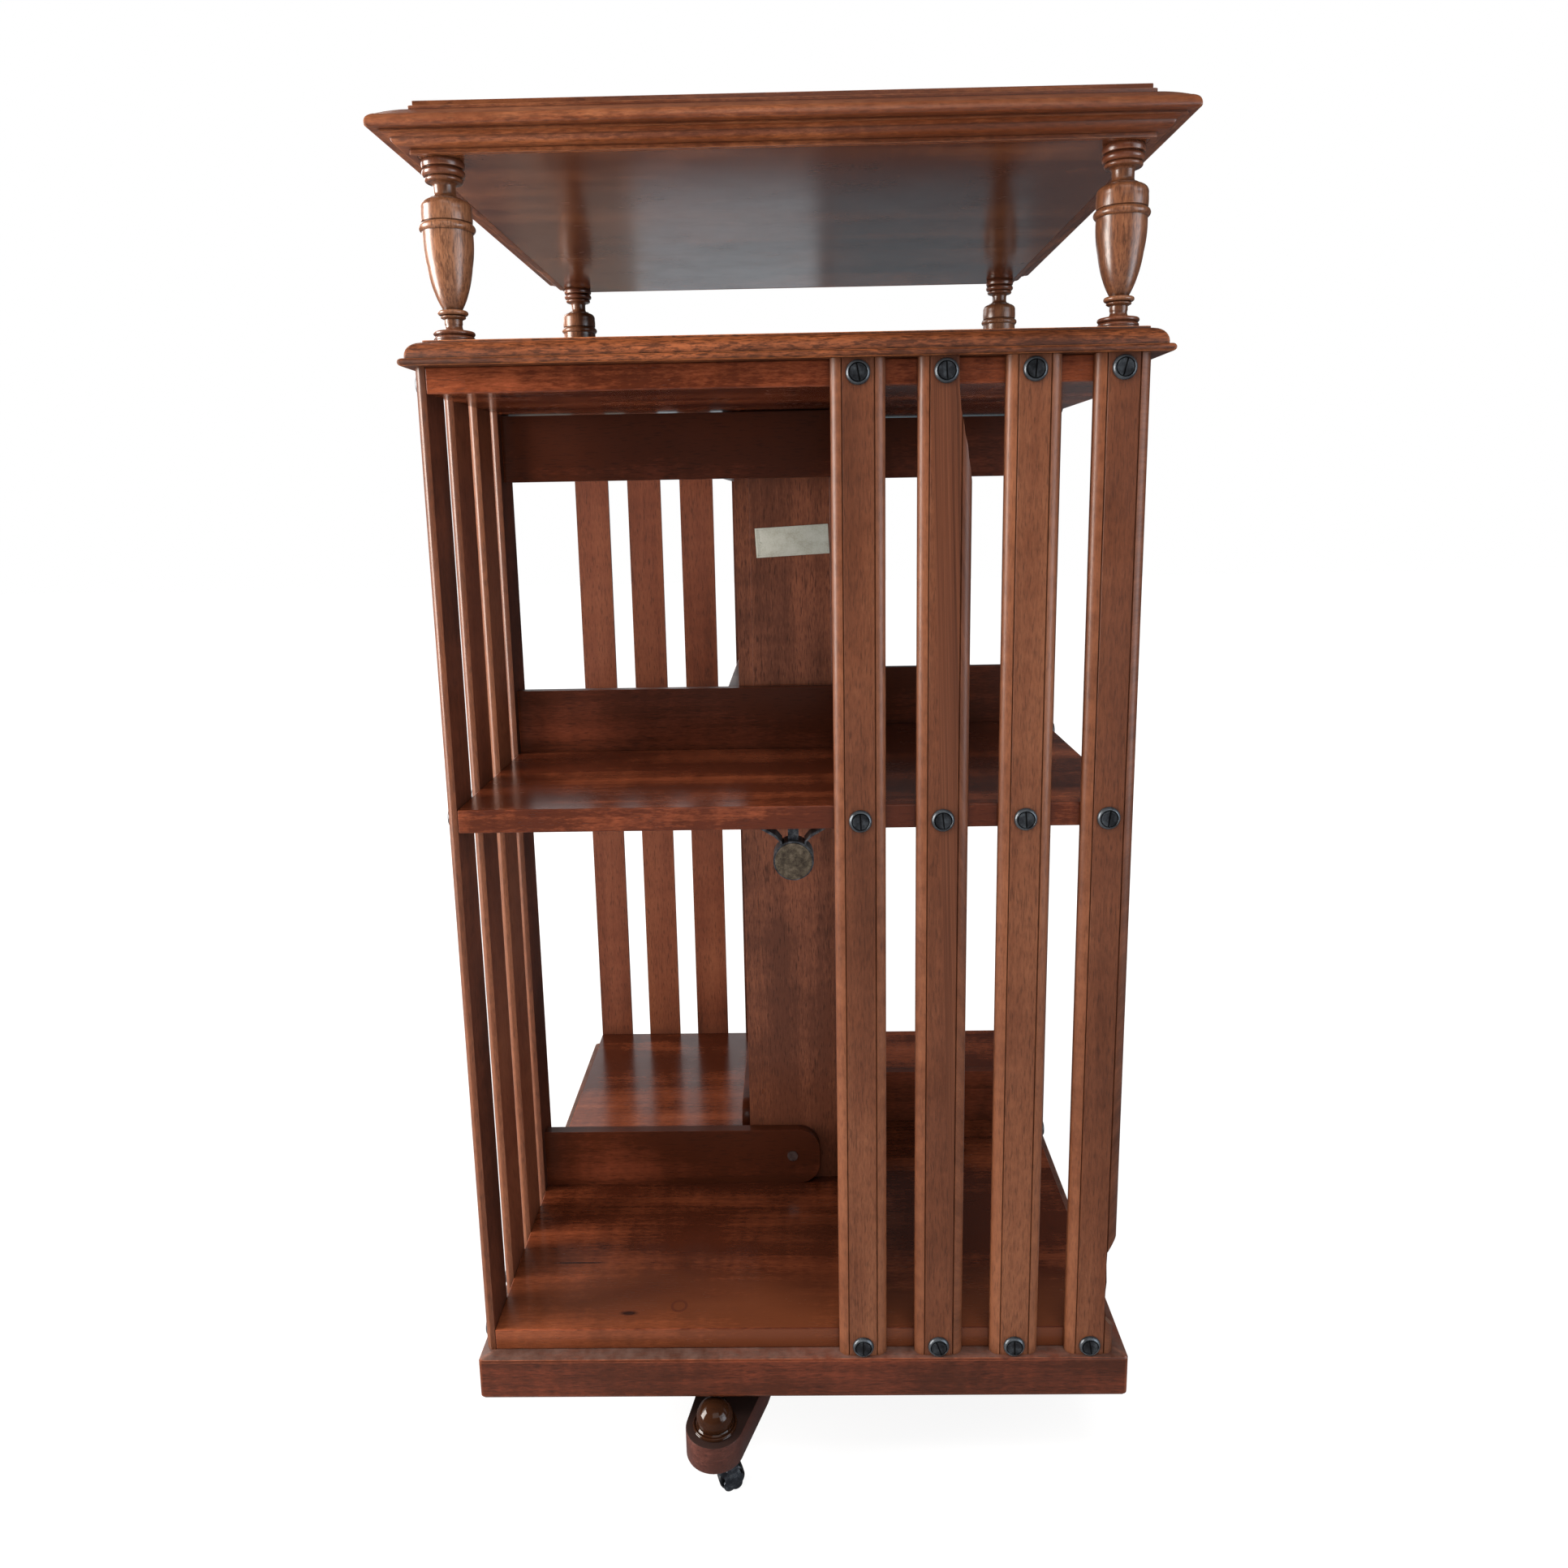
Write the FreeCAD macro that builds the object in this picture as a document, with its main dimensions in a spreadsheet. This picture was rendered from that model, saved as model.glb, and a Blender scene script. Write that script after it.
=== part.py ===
"""Revolving bookcase: two tiers of shelves round a hollow column that turns on a post in a cross foot.

Millimetres, +Z up, origin on the floor under the turning axis. The front faces -Y. Each face has four
slats on one half and is open on the other, in pinwheel order: quarter 0 is the front, and the next ones
follow clockwise as seen from above (left, back, right).
"""
import FreeCAD
import Part
import Sketcher
import math
import os
from types import SimpleNamespace

# The cells of the sheet: millimetres, degrees, shares of another size, or a formula of the cells above.
SIZES = {
    # shelves and the heights between them
    "plinth_lift": 80.0,
    "shelf_width": 460.0,
    "shelf_thickness": 16.5,
    "lower_clear_height": 387.0,
    "upper_clear_height": 276.0,
    # plinth of four mitred boards
    "plinth_overhang": 11.0,
    "plinth_width": "=shelf_width + plinth_overhang * 2",
    "plinth_height": 32.5,
    "plinth_thickness": 22.0,
    "plinth_edge_radius": 4.0,
    # deck board with a thumb moulding and a bead
    "deck_overhang": 13.5,
    "deck_width": "=shelf_width + deck_overhang * 2",
    "deck_thickness": 16.5,
    "deck_bead_height": 4.4,
    "deck_bead_tuck": 1.5,
    "deck_quirk_width": 3.5,
    "deck_quirk_height": 2.0,
    "deck_plateau_inset": 12.8,
    "deck_plateau_height": 1.4,
    "deck_thumb_radius": 10.0,
    # raised table top: board and planted edge moulding
    "table_overhang": 20.0,
    "table_width": "=shelf_width + table_overhang * 2",
    "table_moulding_width": 23.0,
    "table_board_width": "=table_width - table_moulding_width * 2",
    "table_board_thickness": 31.5,
    "table_step_height": 3.6,
    "table_fillet_width": 2.4,
    "table_fillet_height": 1.0,
    "table_thumb_radius": 22.0,
    "table_nose_radius": 2.0,
    "table_nose_height": 10.5,
    "table_nose_back_share": 0.27,
    "table_nose_back": "=table_moulding_width * table_nose_back_share",
    "table_nose_fillet_height": 9.0,
    "table_ogee_width_share": 0.383,
    "table_ogee_width": "=table_moulding_width * table_ogee_width_share",
    "table_ogee_radius": 5.0,
    "table_ogee_foot_height": 3.0,
    "table_foot_inset_share": 0.87,
    "table_foot_inset": "=table_moulding_width * table_foot_inset_share",
    # four turned balusters
    "baluster_height": 110.5,
    "baluster_inset": 16.0,
    "baluster_offset": "=shelf_width / 2 - baluster_inset",
    "baluster_base_radius": 13.0,
    "baluster_body_radius": 15.9,
    "baluster_ring_radius": 17.6,
    "baluster_neck_radius": 6.9,
    "baluster_foot_neck_radius": 5.7,
    "baluster_torus_radius": 9.4,
    "baluster_vase_foot_radius": 6.4,
    "baluster_cap_radius": 13.5,
    # slats with a moulded edge, and their screws in cup washers
    "slat_width": 35.0,
    "slat_thickness": 8.0,
    "slat_pitch": 55.6,
    "slat_face_width": 20.0,
    "slat_quirk_depth": 0.9,
    "slat_edge_thickness": 3.4,
    "slat_bevel_radius": 10.0,
    "slat_break_width": 7.4,
    "slat_break_height": 74.0,
    "slat_break_start": 20.3,
    "slat_split_width": 7.8,
    "slat_split_height": 80.0,
    "screw_height_share": 0.45,
    "washer_radius": 7.8,
    "washer_height": 2.6,
    # square column of four boards
    "column_width": 90.0,
    "column_board_thickness": 12.0,
    # back rails against the column
    "rail_height": 52.0,
    "rail_thickness": 9.0,
    "rail_top_gap": 1.0,
    "short_rail_reach": 17.5,
    "short_rail_radius": 19.0,
    "rail_screw_offset": 7.0,
    "rail_screw_height": 27.0,
    "rail_screw_radius": 4.8,
    "rail_screw_height_proud": 0.8,
    # post, its flange, and the bearings in the column
    "post_radius": 10.0,
    "post_pivot_depth": 12.0,
    "flange_width": 52.0,
    "flange_thickness": 6.0,
    "flange_hub_width": 30.0,
    "flange_hub_height": 22.0,
    "flange_screw_offset": 20.0,
    "flange_screw_head_radius": 5.0,
    "flange_screw_head_height": 3.5,
    "bearing_block_height": 46.0,
    "cup_width": 30.0,
    "cup_height": 18.0,
    "bush_width": 27.0,
    # cross foot with knobs
    "foot_turn_angle": -15.3,
    "foot_knob_reach": 249.5,
    "foot_end_radius": 22.0,
    "foot_width": 52.0,
    "foot_taper_start": 200.0,
    "foot_thickness": 22.0,
    "knob_radius": 13.8,
    "knob_centre_height": 6.6,
    "knob_collar_radius": 16.4,
    "knob_collar_height": 2.4,
    # small castors
    "castor_height": 35.0,
    "castor_trail": 11.0,
    "castor_trail_angle": 20.0,
    "wheel_radius": 10.0,
    "wheel_width": 9.0,
    "axle_radius": 2.0,
    "fork_gap": 10.0,
    "fork_cheek_thickness": 2.0,
    "fork_crown_thickness": 4.0,
    "fork_crown_gap": 0.4,
    "fork_eye_radius": 7.5,
    "fork_eye_bevel_share": 0.41,
    "fork_crown_reach": 15.0,
    "fork_shoulder_reach": 7.0,
    "fork_stem_radius": 4.0,
    "fork_stem_length": 3.6,
    "castor_plate_width": 27.0,
    "castor_plate_thickness": 4.0,
    # round metal button in a strap under the middle shelf
    "button_radius": 12.8,
    "button_length": 19.0,
    "strap_thickness": 1.2,
    "strap_width": 15.0,
    "strap_wing_reach": 24.0,
    "strap_drop": 24.3,
    "strap_neck_width": 18.0,
    "strap_neck_height": 16.5,
    "strap_flare_width": 4.5,
    "strap_flare_height": 3.0,
    "strap_post_width": 7.4,
    "strap_setback": 3.5,
    "strap_button_proud": 1.5,
    # clearances and overrun
    "glue_gap": 0.05,
    "running_gap": 0.1,
    "overrun": 5.0,
}


class Size:
    """A size of the sheet, or a sum of sizes: its value and the formula that gives it."""

    def __init__(self, value, formula):
        self.value = value
        self.formula = formula

    def __add__(self, other):
        return Size(self.value + value_of(other), f"({self.formula} + {formula_of(other)})")

    def __radd__(self, other):
        return Size(value_of(other) + self.value, f"({formula_of(other)} + {self.formula})")

    def __sub__(self, other):
        return Size(self.value - value_of(other), f"({self.formula} - {formula_of(other)})")

    def __rsub__(self, other):
        return Size(value_of(other) - self.value, f"({formula_of(other)} - {self.formula})")

    def __mul__(self, other):
        return Size(self.value * value_of(other), f"({self.formula} * {formula_of(other)})")

    __rmul__ = __mul__

    def __truediv__(self, other):
        return Size(self.value / value_of(other), f"({self.formula} / {formula_of(other)})")

    def __neg__(self):
        return Size(-self.value, f"(0 - {self.formula})")


def value_of(size):
    return size.value if isinstance(size, Size) else float(size)


def formula_of(size):
    return size.formula if isinstance(size, Size) else repr(size)


doc = FreeCAD.newDocument("revolving_bookcase")
sheet = doc.addObject("Spreadsheet::Sheet", "Sizes")
for row, (alias, entry) in enumerate(SIZES.items(), start=1):
    sheet.set(f"A{row}", alias)
    sheet.set(f"B{row}", str(entry))
    sheet.setAlias(f"B{row}", alias)
doc.recompute()
size = SimpleNamespace(**{alias: Size(float(sheet.get(alias)), f"Sizes.{alias}") for alias in SIZES})

QUARTERS = ("front", "left", "back", "right")
Z_AXIS = FreeCAD.Vector(0, 0, 1)
nodes = []


def keep(piece, label, placement=None):
    """Names a finished sub-part after its file and puts it in place."""
    piece.Label = label
    if placement is not None:
        piece.Placement = placement
    nodes.append(piece)
    return piece


def at(across=0, along=0, up=0, turn=0):
    """A place on the bookcase, then turned about the upright axis through the middle."""
    place = FreeCAD.Placement(vector(across, along, up), FreeCAD.Rotation())
    return FreeCAD.Placement(FreeCAD.Vector(), FreeCAD.Rotation(Z_AXIS, value_of(turn))) * place


def vector(across, along, up):
    return FreeCAD.Vector(value_of(across), value_of(along), value_of(up))


def quarter_turn(quarter):
    """The angle of a quarter: each next one stands a right angle clockwise of the last."""
    return -90 * quarter


def bind(piece, **properties):
    """Sets each property to a size and ties it to the sheet."""
    for name, value in properties.items():
        setattr(piece, name, value_of(value))
        piece.setExpression(name, formula_of(value))


def mirrored(half):
    """Closes the right half of an outline, given from the bottom up, with its mirror image."""
    chain = list(half)
    for index in range(len(half) - 1, -1, -1):
        across, up = half[index][:2]
        bend = half[index - 1][2:] if index > 0 else ()
        chain.append((-across, up) + tuple(bend))
    return chain


def arc_of(start, end, radius):
    """The arc from start to end, with its middle on the left of the way there where radius is positive."""
    chord = end - start
    middle = (start + end) / 2
    normal = FreeCAD.Vector(-chord.y, chord.x, 0).normalize()
    rise = math.sqrt(max(radius * radius - chord.Length * chord.Length / 4, 0))
    centre = middle + normal * math.copysign(rise, radius)
    first, last = (start, end) if radius > 0 else (end, start)
    angles = [math.atan2(point.y - centre.y, point.x - centre.x) for point in (first, last)]
    if angles[1] < angles[0]:
        angles[1] += 2 * math.pi
    circle = Part.Circle(centre, Z_AXIS, abs(radius))
    return Part.ArcOfCircle(circle, angles[0], angles[1])


def pin(sketch, edge, end, place):
    """Ties one point of a sketch to its distances from the sketch's origin."""
    for kind, axis, distance in (("DistanceX", -2, place[0]), ("DistanceY", -1, place[1])):
        if isinstance(distance, Size):
            number = sketch.addConstraint(Sketcher.Constraint(kind, -1, 1, edge, end, distance.value))
            sketch.setExpression(f"Constraints[{number}]", distance.formula)
        else:
            sketch.addConstraint(Sketcher.Constraint("PointOnObject", edge, end, axis))


def draw_outline(sketch, points):
    """Draws a closed outline, anticlockwise. A third value is the radius of the arc to the next point,
    negative where the arc is hollow."""
    first = sketch.GeometryCount
    ends = []
    for index, point in enumerate(points):
        following = points[(index + 1) % len(points)]
        start = vector(point[0], point[1], 0)
        end = vector(following[0], following[1], 0)
        if len(point) == 2:
            sketch.addGeometry(Part.LineSegment(start, end))
            ends.append((1, 2))
        else:
            sketch.addGeometry(arc_of(start, end, point[2].value))
            ends.append((1, 2) if point[2].value > 0 else (2, 1))
    for index, point in enumerate(points):
        edge = first + index
        before = first + (index - 1) % len(points)
        sketch.addConstraint(Sketcher.Constraint("Coincident", before, ends[index - 1][1], edge, ends[index][0]))
        pin(sketch, edge, ends[index][0], point)
        if len(point) > 2:
            radius = point[2] if point[2].value > 0 else -point[2]
            number = sketch.addConstraint(Sketcher.Constraint("Radius", edge, radius.value))
            sketch.setExpression(f"Constraints[{number}]", radius.formula)


def draw_circle(sketch, across, up, radius):
    edge = sketch.addGeometry(Part.Circle(vector(across, up, 0), Z_AXIS, radius.value))
    pin(sketch, edge, 3, (across, up))
    number = sketch.addConstraint(Sketcher.Constraint("Radius", edge, radius.value))
    sketch.setExpression(f"Constraints[{number}]", radius.formula)


UPRIGHT = FreeCAD.Rotation(FreeCAD.Vector(1, 0, 0), 90)
SIDEWAYS = FreeCAD.Rotation(FreeCAD.Vector(1, 1, 1), 120)


def prism(name, points, length, rotation=None, symmetric=False):
    """An outline drawn on its own plane and pushed out along that plane's normal."""
    sketch = doc.addObject("Sketcher::SketchObject", f"{name}_outline")
    draw_outline(sketch, points)
    if rotation is not None:
        sketch.Placement = FreeCAD.Placement(FreeCAD.Vector(), rotation)
    solid = doc.addObject("Part::Extrusion", name)
    solid.Base = sketch
    solid.DirMode = "Normal"
    solid.Solid = True
    solid.Symmetric = symmetric
    bind(solid, LengthFwd=length)
    return solid


def box(name, length, width, height, placement):
    solid = doc.addObject("Part::Box", name)
    bind(solid, Length=length, Width=width, Height=height)
    solid.Placement = placement
    return solid


def rod(name, radius, height, placement):
    solid = doc.addObject("Part::Cylinder", name)
    bind(solid, Radius=radius, Height=height)
    solid.Placement = placement
    return solid


def cut(name, base, tools):
    """The base without its tools."""
    result = doc.addObject("Part::Cut", name)
    result.Base = base
    result.Tool = tools[0] if len(tools) == 1 else fused(f"{name}_tools", tools)
    return result


def fused(name, pieces):
    result = doc.addObject("Part::MultiFuse", name)
    result.Shapes = pieces
    return result


def overlap_of(name, pieces):
    result = doc.addObject("Part::MultiCommon", name)
    result.Shapes = pieces
    return result


def group(name, pieces):
    """Separate solids of one kind that share a node."""
    result = doc.addObject("Part::Compound", name)
    result.Links = pieces
    return result


def body_sketch(body, name, role, offset=None):
    """A sketch on one of a body's own planes, moved out along its normal by an offset."""
    plane = next(feature for feature in body.Origin.OriginFeatures if feature.Role == role)
    sketch = body.newObject("Sketcher::SketchObject", name)
    sketch.AttachmentSupport = (plane, [""])
    sketch.MapMode = "FlatFace"
    if offset is not None:
        sketch.AttachmentOffset = FreeCAD.Placement(vector(0, 0, offset), FreeCAD.Rotation())
        sketch.setExpression("AttachmentOffset.Base.z", formula_of(offset))
    return sketch


def padded_body(name, points, length):
    """A body whose outline on the level plane is raised by a length."""
    body = doc.addObject("PartDesign::Body", name)
    outline = body_sketch(body, f"{name}_outline", "XY_Plane")
    draw_outline(outline, points)
    pad = body.newObject("PartDesign::Pad", f"{name}_pad")
    pad.Profile = outline
    bind(pad, Length=length)
    return body


def turned_body(name, half_outline):
    """A body turned on the lathe: the outline right of the axis goes once round it."""
    body = doc.addObject("PartDesign::Body", name)
    outline = body_sketch(body, f"{name}_outline", "XZ_Plane")
    draw_outline(outline, half_outline)
    turned = body.newObject("PartDesign::Revolution", f"{name}_turned")
    turned.Profile = outline
    turned.ReferenceAxis = (outline, ["V_Axis"])
    turned.Angle = 360
    return body


def flat_sided_turning(name, half_outline, reach, sides):
    """A turning with flat sides in place of the round: its outline, given as the right half from the bottom
    up, goes straight through from several directions, and what they all share is kept."""
    sketch = doc.addObject("Sketcher::SketchObject", f"{name}_outline")
    draw_outline(sketch, mirrored(half_outline))
    sketch.Placement = FreeCAD.Placement(FreeCAD.Vector(), UPRIGHT)
    passes = []
    for number in range(sides // 2):
        solid = doc.addObject("Part::Extrusion", f"{name}_pass_{number}")
        solid.Base = sketch
        solid.DirMode = "Normal"
        solid.Solid = True
        solid.Symmetric = True
        bind(solid, LengthFwd=reach * 2)
        solid.Placement = at(turn=360 / sides * number)
        passes.append(solid)
    return overlap_of(name, passes)


# Heights of the stack, from the floor up, and the places that several pieces share.
shelf_half = size.shelf_width / 2
bottom_shelf_base = size.plinth_lift + size.plinth_height
bottom_shelf_top = bottom_shelf_base + size.shelf_thickness
middle_shelf_base = bottom_shelf_top + size.lower_clear_height
middle_shelf_top = middle_shelf_base + size.shelf_thickness
top_shelf_base = middle_shelf_top + size.upper_clear_height
deck_base = top_shelf_base + size.shelf_thickness
deck_top = deck_base + size.deck_thickness
table_base = deck_top + size.baluster_height
column_half = size.column_width / 2
slat_length = deck_base - bottom_shelf_base
screw_lift = size.shelf_thickness * size.screw_height_share
slat_places = [shelf_half - size.slat_width / 2 - size.slat_pitch * step for step in reversed(range(4))]


def make_plinth():
    """Four mitred boards, rounded along the outer edges, that carry the slats and the bottom shelf."""
    half = size.plinth_width / 2
    inner = half - size.plinth_thickness
    edge = size.plinth_edge_radius
    section = [(-half + edge, 0), (-inner, 0), (-inner, size.plinth_height),
               (-half + edge, size.plinth_height, edge), (-half, size.plinth_height - edge),
               (-half, edge, edge)]
    mitre = [(-half, -half), (half, -half), (inner, -inner), (-inner, -inner)]
    for quarter, side in enumerate(QUARTERS):
        length = prism(f"plinth_length_{side}", section, size.plinth_width, SIDEWAYS, symmetric=True)
        ends = prism(f"plinth_ends_{side}", mitre, size.plinth_height)
        board = overlap_of(f"plinth_{side}_board", [length, ends])
        keep(board, f"plinth_{side}", at(up=size.plinth_lift, turn=quarter_turn(quarter)))


def make_shelf(label, base, centre_cut):
    """A square shelf, cut out in the middle for the column or for the bush."""
    body = doc.addObject("PartDesign::Body", f"{label}_body")
    outline = body_sketch(body, f"{label}_outline", "XY_Plane")
    draw_outline(outline, [(-shelf_half, -shelf_half), (shelf_half, -shelf_half),
                           (shelf_half, shelf_half), (-shelf_half, shelf_half)])
    if centre_cut == "column":
        half = column_half + size.glue_gap
        draw_outline(outline, [(-half, -half), (half, -half), (half, half), (-half, half)])
    if centre_cut == "bush":
        half = size.bush_width / 2 + size.glue_gap
        draw_outline(outline, [(-half, -half), (half, -half), (half, half), (-half, half)])
    pad = body.newObject("PartDesign::Pad", f"{label}_pad")
    pad.Profile = outline
    bind(pad, Length=size.shelf_thickness)
    keep(body, label, at(up=base))


def make_deck():
    """The moulded board on the top shelf: a thumb moulding over a bead."""
    half = size.deck_width / 2
    bead = size.deck_bead_height
    bead_edge = half - size.deck_bead_tuck
    quirk_edge = half - size.deck_quirk_width
    thumb_base = bead + size.deck_quirk_height
    plateau_edge = half - size.deck_plateau_inset
    shoulder = size.deck_thickness - size.deck_plateau_height
    right = [(bead_edge, 0, bulge(bead, size.deck_bead_tuck)), (bead_edge, bead), (quirk_edge, bead),
             (quirk_edge, thumb_base, size.deck_thumb_radius), (plateau_edge, shoulder),
             (plateau_edge, size.deck_thickness)]
    moulding = mirrored(right)
    lengthwise = prism("deck_front_moulding", moulding, size.deck_width, UPRIGHT, symmetric=True)
    crosswise = prism("deck_side_moulding", moulding, size.deck_width, SIDEWAYS, symmetric=True)
    board = overlap_of("deck_board", [lengthwise, crosswise])
    keep(board, "deck", at(up=deck_base))


# Heights of the turnings, as shares of the baluster's height, from the foot up.
BALUSTER_SHARES = {
    "disc": 0.045, "flare": 0.090, "foot_neck": 0.140, "torus_top": 0.188, "vase_top": 0.615,
    "ring_top": 0.662, "body_top": 0.735, "shoulder": 0.790, "neck_top": 0.885,
}


def bulge(chord, rise):
    """The radius of the arc that rises this much over this chord."""
    return (chord * chord / 4 + rise * rise) / (rise * 2)


def make_balusters():
    """Four turned balusters: disc foot, neck and torus, long vase, ringed body, neck and cap."""
    tall = {name: size.baluster_height * share for name, share in BALUSTER_SHARES.items()}
    base, neck, foot_neck = size.baluster_base_radius, size.baluster_neck_radius, size.baluster_foot_neck_radius
    body, ring, torus = size.baluster_body_radius, size.baluster_ring_radius, size.baluster_torus_radius
    cap, vase = size.baluster_cap_radius, size.baluster_vase_foot_radius
    outline = [
        (base, 0), (base, tall["disc"]), (foot_neck, tall["flare"]), (foot_neck, tall["foot_neck"]),
        (torus, tall["foot_neck"]), (torus, tall["torus_top"]), (vase, tall["torus_top"]),
        (body, tall["vase_top"]), (ring, tall["vase_top"]), (ring, tall["ring_top"]), (body, tall["ring_top"]),
        (body, tall["body_top"]), (neck, tall["shoulder"]), (neck, tall["neck_top"]), (cap, tall["neck_top"]),
        (cap, size.baluster_height),
    ]
    pieces = []
    for quarter, side in enumerate(("front_left", "back_left", "back_right", "front_right")):
        piece = flat_sided_turning(f"baluster_{side}", outline, ring + size.overrun, 12)
        piece.Placement = at(-size.baluster_offset, -size.baluster_offset, deck_top, quarter_turn(quarter))
        pieces.append(piece)
    keep(group("baluster_group", pieces), "balusters")


def make_table():
    """The raised top: a square board, and a moulding mitred round its four edges."""
    half = size.table_board_width / 2
    board = box("table_board", size.table_board_width, size.table_board_width, size.table_board_thickness,
                at(-half, -half, 0))
    keep(board, "table_top", at(-half, -half, table_base))
    outer = size.table_width / 2
    top = size.table_board_thickness - size.table_step_height
    nose = outer - size.table_nose_radius
    ogee_top = outer - size.table_nose_back
    ogee_foot = ogee_top - size.table_ogee_width
    ogee_turn = ogee_top - size.table_ogee_width / 2
    foot = outer - size.table_foot_inset
    turn_height = (size.table_nose_fillet_height + size.table_ogee_foot_height) / 2
    section = [
        (-foot, 0), (-half, 0), (-half, top), (-half - size.table_fillet_width, top),
        (-half - size.table_fillet_width, top - size.table_fillet_height, size.table_thumb_radius),
        (-outer, size.table_nose_height + size.table_nose_radius, size.table_nose_radius),
        (-nose, size.table_nose_height), (-ogee_top, size.table_nose_height),
        (-ogee_top, size.table_nose_fillet_height, size.table_ogee_radius),
        (-ogee_turn, turn_height, -size.table_ogee_radius),
        (-ogee_foot, size.table_ogee_foot_height), (-foot, size.table_ogee_foot_height),
    ]
    mitre = [(-outer, -outer), (outer, -outer), (half, -half), (-half, -half)]
    strips = []
    for quarter, side in enumerate(QUARTERS):
        length = prism(f"table_moulding_length_{side}", section, size.table_width, SIDEWAYS, symmetric=True)
        ends = prism(f"table_moulding_ends_{side}", mitre, size.table_board_thickness)
        strip = overlap_of(f"table_moulding_{side}", [length, ends])
        strip.Placement = at(up=table_base, turn=quarter_turn(quarter))
        strips.append(strip)
    keep(group("table_moulding_strips", strips), "table_moulding")


def slat_section():
    """A slat seen from its end: flat back and face, and a rounded bevel behind a fine quirk on each side."""
    half = size.slat_width / 2
    face = size.slat_face_width / 2
    quirk = size.slat_thickness - size.slat_quirk_depth
    return [(-half, 0), (-half, -size.slat_edge_thickness, size.slat_bevel_radius), (-face, -quirk),
            (-face, -size.slat_thickness), (face, -size.slat_thickness),
            (face, -quirk, size.slat_bevel_radius), (half, -size.slat_edge_thickness), (half, 0)]


def slat_damage(body, name, slat_number):
    """The two breaks along the right edge of the front slats, as worn as the real ones."""
    half = size.slat_width / 2
    if slat_number == 4:
        low, high = size.slat_break_start, size.slat_break_start + size.slat_break_height
        deep, slope = half - size.slat_break_width, size.slat_break_width
        points = [(half + size.overrun, low), (half + size.overrun, high), (half, high),
                  (deep, high - slope), (deep, low + slope / 2), (half, low)]
    else:
        low, high = slat_length - size.slat_split_height, slat_length + size.overrun
        deep, middle = half - size.slat_split_width, slat_length - size.slat_split_height / 2
        points = [(half, low), (half + size.overrun, low), (half + size.overrun, high), (deep, high),
                  (deep, middle), (half - size.slat_split_width / 3, low + size.slat_split_height / 4)]
    outline = body_sketch(body, f"{name}_break", "XZ_Plane", size.slat_thickness + size.overrun)
    draw_outline(outline, points)
    pocket = body.newObject("PartDesign::Pocket", f"{name}_break_cut")
    pocket.Profile = outline
    bind(pocket, Length=size.slat_thickness + size.overrun * 2)
    body.Tip = pocket


def make_slats():
    """Sixteen slats, four on a face, from the plinth to the deck."""
    for quarter, side in enumerate(QUARTERS):
        for slat_number, place in enumerate(slat_places, start=1):
            name = f"slat_{side}_{slat_number}"
            body = padded_body(f"{name}_body", slat_section(), slat_length)
            if side == "front" and slat_number in (2, 4):
                slat_damage(body, name, slat_number)
            keep(body, name, at(place, -shelf_half, bottom_shelf_base, quarter_turn(quarter)))


def outward(across, along, up, quarter):
    """A place on a face, with a screw's own axis pointing out of that face."""
    tilt = FreeCAD.Placement(FreeCAD.Vector(), UPRIGHT)
    return at(across, along, up, quarter_turn(quarter)) * tilt


def screw_head(name, sides, radius, height, placement):
    """A screw head, or a screw in its cup washer, with flat sides in place of the round."""
    head = doc.addObject("Part::Prism", name)
    head.Polygon = sides
    bind(head, Circumradius=radius, Height=height)
    head.Placement = placement
    return head


def make_slat_screws():
    """Three screws to a slat, one at each shelf's edge, in cup washers that stand on the slat's face."""
    face = -shelf_half - size.slat_thickness
    heads = []
    for quarter, side in enumerate(QUARTERS):
        for slat_number, place in enumerate(slat_places, start=1):
            for level, base in (("bottom", bottom_shelf_base), ("middle", middle_shelf_base), ("top", top_shelf_base)):
                heads.append(screw_head(f"screw_{side}_{slat_number}_{level}", 8, size.washer_radius,
                                        size.washer_height, outward(place, face, base + screw_lift, quarter)))
    keep(group("slat_screw_group", heads), "slat_screws")


def make_column():
    """The hollow column: side boards of full width, with the front and back boards set between them."""
    height = top_shelf_base - bottom_shelf_top
    inner = size.column_width - size.column_board_thickness * 2
    for quarter, side in enumerate(QUARTERS):
        width = inner if side in ("front", "back") else size.column_width
        board = box(f"column_board_{side}", width, size.column_board_thickness, height, at())
        keep(board, f"column_{side}", at(-width / 2, -column_half, bottom_shelf_top, quarter_turn(quarter)))


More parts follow.
